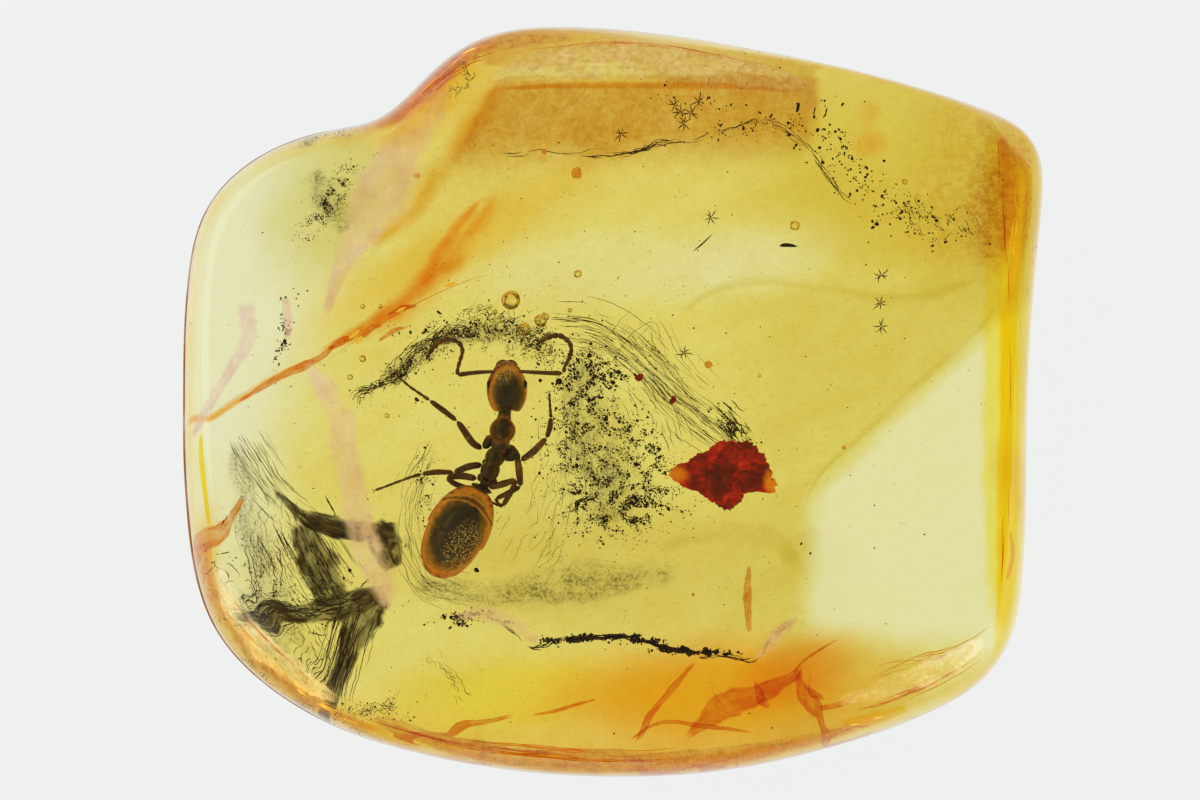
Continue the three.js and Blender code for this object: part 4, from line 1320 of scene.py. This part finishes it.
add_flows("edge_red", (
    ([(9.10, 6.3), (9.28, 5.4), (9.30, 4.4), (9.12, 3.4)], (0.25, 0.55, 0.50, 0.2)),
    ([(9.22, -4.2), (9.35, -3.6), (9.30, -3.0)], (0.10, 0.16, 0.08)),
    ([(-5.6, 6.42), (-4.9, 6.75), (-4.3, 7.25), (-3.6, 7.85)], (0.25, 0.40, 0.34, 0.2)),
    ([(-9.55, -3.0), (-9.5, -4.2), (-9.0, -5.4), (-8.0, -6.5), (-6.6, -7.4), (-5.2, -7.85)],
     (0.2, 0.34, 0.36, 0.36, 0.34, 0.2)),
    ([(-5.2, -7.75), (-3.0, -8.30), (-0.4, -8.50), (2.4, -8.36), (5.0, -7.85)],
     (0.25, 0.45, 0.42, 0.40, 0.2)),
    ([(-2.84, 7.34), (-1.20, 7.41), (0.90, 7.41), (3.00, 7.37), (4.40, 7.22)],
     (0.10, 0.22, 0.26, 0.22, 0.1)),
), (0.92, 0.58, 0.08), 0.7, 1.0, 140, 0.7, 0.6, 0.08)
add_flows("olive_flows", (
    (level(2.2, (1.6, 1.9), (2.3, 2.45), (3.6, 2.75), (5.2, 2.55), (6.9, 2.35), (8.7, 2.85)),
     (0.20, 0.36, 0.30, 0.34, 0.40, 0.2)),
    (level(2.4, (4.4, -2.6), (4.9, -1.6), (6.4, -0.25), (8.0, 1.15), (8.9, 2.1)),
     (0.10, 0.24, 0.30, 0.34, 0.2)),
    (level(2.4, (1.0, -3.4), (2.4, -3.0), (3.8, -3.2), (4.5, -4.0)), (0.3, 0.7, 0.8, 0.4)),
    (level(2.0, (3.9, -3.6), (4.4, -3.4), (4.8, -2.9)), (0.4, 0.9, 0.5)),
), (0.91, 0.86, 0.62), 0.4, 1.0, 150, 0.9, 0.3)


# ---- Rim line, slivers and creases -----------------------------------------------------------------
# The thin brown line that the crust leaves along the widest part of the rim, painted glints (glowing gold
# slivers) where it is cracked through, and the fine creases beside them.

GLINT_DEPTH = 0.07
CREASE_DEPTH = 0.10
GIRDLE_HEIGHT = 2.95
GIRDLE_WANDER = 0.12
# The ends of the slivers that lie deep in the stone.
DEEP_GLINT_HEIGHT = 3.5
DEEP_GLINTS = (
    ((-5.98, 1.42), (-5.72, 1.62)), ((-5.80, 1.30), (-5.66, 1.50)), ((-4.9, 2.02), (-4.66, 2.14)),
    ((-3.8, 2.62), (-3.5, 2.72)), ((-1.56, 5.82), (-1.46, 5.84)),
)
GIRDLE_RADII = (0.015, 0.03, 0.04, 0.055, 0.065, 0.075, 0.075, 0.06, 0.045, 0.05, 0.04, 0.03, 0.015)
girdle = bmesh.new()
loop = []
for turn in range(75, 318, 3):
    way = Vector((math.cos(math.radians(turn)), math.sin(math.radians(turn)), 0))
    start = way * 20 + Vector((0, 0, GIRDLE_HEIGHT + noise.noise(way * 2.5) * GIRDLE_WANDER))
    wall, facing = skin_tree.ray_cast(start * MM, -way)[:2]
    loop.append(wall / MM - facing * 0.02)
add_limb(girdle, loop, GIRDLE_RADII, 480, 6)
f = Finish("girdle_crust")
broken = f.noise(f.place(), 0.8, detail=4.0).step(0.30, 0.60)
add_piece("girdle_line", girdle, f.done(f.filtering(0.55 + broken * 0.45, (0.62, 0.38, 0.15))))


def add_glint(points, count, radius, seed, span=(0.2, 0.6), spread=0.03):
    """Painted glints: glowing gold slivers laid against the stone's top face, where the crust is cracked
    through.
    """
    laid = [on_top(x * RIM_TUCK, y * RIM_TUCK, GLINT_DEPTH) for x, y in points]
    add_threads(glints, laid, spread, count, radius, 0.03, seed, span, 14, 0.01)


glints = bmesh.new()
add_glint([(-4.95, 6.85), (-4.2, 7.50), (-3.45, 8.15), (-2.7, 8.38)], 8, 0.022, 160, (0.15, 0.5), 0.06)
add_glint([(-8.9, -5.35), (-8.0, -6.25), (-7.0, -7.0), (-5.9, -7.5)], 9, 0.020, 161, (0.05, 0.2), 0.14)
add_glint([(9.3, 5.6), (9.42, 4.4), (9.3, 3.2)], 5, 0.020, 162, (0.15, 0.4), 0.08)
add_glint([(5.4, -7.5), (6.2, -7.38), (6.9, -7.15)], 5, 0.020, 163, (0.2, 0.5), 0.06)
for start, end in DEEP_GLINTS:
    middle = ((start[0] + end[0]) / 2, (start[1] + end[1]) / 2)
    add_limb(glints, level(DEEP_GLINT_HEIGHT, start, middle, end), (0.02, 0.05, 0.02), 10, 6, 0.3)
f = Finish("crack_glints")
gold = f.ramp(f.noise(f.place(), 3.0), (0.4, (0.95, 0.58, 0.05)), (0.6, (1.0, 0.80, 0.16)))
# The slivers' gold and their emission are painted highlights.
add_piece("crack_glints", glints, f.done(f.shader(
    Base_Color=gold, Roughness=0.3, Emission_Color=gold, Emission_Strength=0.6)))


def add_crease(points, count, radius, seed, span=(0.2, 0.6), spread=0.03):
    """Fine lines laid against the stone's top face."""
    laid = [on_top(x * RIM_TUCK, y * RIM_TUCK, CREASE_DEPTH) for x, y in points]
    add_threads(creases, laid, spread, count, radius, 0.05, seed, span, 20, 0.02)


creases = bmesh.new()
add_crease([(-9.15, -4.25), (-8.72, -4.95), (-7.95, -5.78), (-7.05, -6.58), (-6.34, -7.0)], 12, 0.012, 101)
add_crease([(-9.4, -4.7), (-9.0, -5.05), (-8.5, -5.6), (-8.1, -5.85)], 8, 0.012, 102, spread=0.12)
add_crease([(-2.4, 8.1), (0.0, 8.35), (2.4, 8.1), (4.6, 7.6)], 8, 0.010, 104, spread=0.1)
add_crease([(-6.0, -7.35), (-4.2, -7.85), (-2.3, -8.1), (0.2, -8.25), (2.4, -8.1)], 26, 0.011, 105,
           spread=0.16)
add_crease([(5.3, -7.25), (6.4, -6.95), (7.6, -6.45), (8.7, -5.8)], 18, 0.011, 106, spread=0.12)
add_crease([(5.6, -6.5), (6.8, -6.1), (8.0, -5.75), (8.9, -5.25)], 12, 0.009, 107, spread=0.12)
add_crease([(9.05, -4.8), (9.12, -2.0), (9.12, 1.0), (9.1, 4.0), (9.05, 6.2)], 8, 0.012, 108, (0.06, 0.2),
           0.1)
add_crease([(-4.9, 6.7), (-4.2, 7.3), (-3.4, 7.9), (-2.6, 8.2)], 8, 0.012, 109, spread=0.12)
f = Finish("rim_creases")
rusty = f.noise(f.place(), 1.3, detail=3.0).step(0.2, 0.6)
add_piece("rim_creases", creases, f.done(f.filtering(0.4 + rusty * 0.6, (0.93, 0.62, 0.14))))


# ---- The light table, the lamps and the camera -----------------------------------------------------
# A pale, evenly lit sheet under the stone and two soft lamps beside it.

TABLE_RADIUS = 600.0
TABLE_GAP = 0.03

table = bmesh.new()
bmesh.ops.create_circle(table, cap_ends=True, segments=96, radius=TABLE_RADIUS * MM)
bmesh.ops.translate(table, verts=table.verts, vec=(0, 0, -TABLE_GAP * MM))
f = Finish("light_table")
lit = f.shader(Base_Color=(0.15, 0.155, 0.155), Roughness=0.9, Specular_IOR_Level=0.1,
               Emission_Color=(0.97, 1.0, 0.992), Emission_Strength=0.835)
table_mesh = bpy.data.meshes.new("light_table")
table.to_mesh(table_mesh)
table.free()
table_mesh.materials.append(f.done(lit))
floor = bpy.data.objects.new("light_table", table_mesh)
bpy.context.scene.collection.objects.link(floor)

# The studio's walls, from the horizon to overhead.
STUDIO_FADE = ((0.0, (0.55, 0.56, 0.555, 1)), (0.95, (0.12, 0.12, 0.12, 1)))
world = bpy.data.worlds.new("studio")
bpy.context.scene.world = world
world.use_nodes = True
sky = world.node_tree
sky.nodes.clear()
direction = sky.nodes.new("ShaderNodeTexCoord")
parts = sky.nodes.new("ShaderNodeSeparateXYZ")
fade = sky.nodes.new("ShaderNodeValToRGB")
for stop, (height, colour) in zip(fade.color_ramp.elements, STUDIO_FADE):
    stop.position, stop.color = height, colour
background = sky.nodes.new("ShaderNodeBackground")
out = sky.nodes.new("ShaderNodeOutputWorld")
sky.links.new(direction.outputs["Generated"], parts.inputs[0])
sky.links.new(parts.outputs[2], fade.inputs[0])
sky.links.new(fade.outputs[0], background.inputs[0])
sky.links.new(background.outputs[0], out.inputs[0])


def add_lamp(name, place, size, watts):
    lamp = bpy.data.lights.new(name, "AREA")
    lamp.shape, lamp.size, lamp.size_y, lamp.energy = "RECTANGLE", size[0] * MM, size[1] * MM, watts
    holder = bpy.data.objects.new(name, lamp)
    holder.location = Vector(place) * MM
    holder.rotation_mode = "QUATERNION"
    holder.rotation_quaternion = Vector(place).to_track_quat("Z", "Y")
    bpy.context.scene.collection.objects.link(holder)


add_lamp("left_softbox", (-260, 120, 130), (300, 200), 0.20)
add_lamp("right_softbox", (260, -120, 110), (260, 180), 0.12)

# The camera looks straight down; the field is that wide at the height it aims at.
CAMERA_LENS = 100.0
CAMERA_SENSOR = 36.0
FIELD_WIDTH = 28.0
AIM = (-0.268, 0.035, 3.0)

camera_data = bpy.data.cameras.new("camera")
camera_data.lens, camera_data.sensor_width = CAMERA_LENS, CAMERA_SENSOR
camera_data.clip_start, camera_data.clip_end = MM, 5.0
camera = bpy.data.objects.new("camera", camera_data)
camera.location = (Vector(AIM) + Vector((0, 0, FIELD_WIDTH * CAMERA_LENS / CAMERA_SENSOR))) * MM
bpy.context.scene.collection.objects.link(camera)
scene = bpy.context.scene
scene.camera = camera
scene.view_settings.view_transform = "Standard"
scene.cycles.max_bounces = 24
scene.cycles.transmission_bounces = 24
scene.cycles.transparent_max_bounces = 32
scene.cycles.sample_clamp_indirect = 4.0
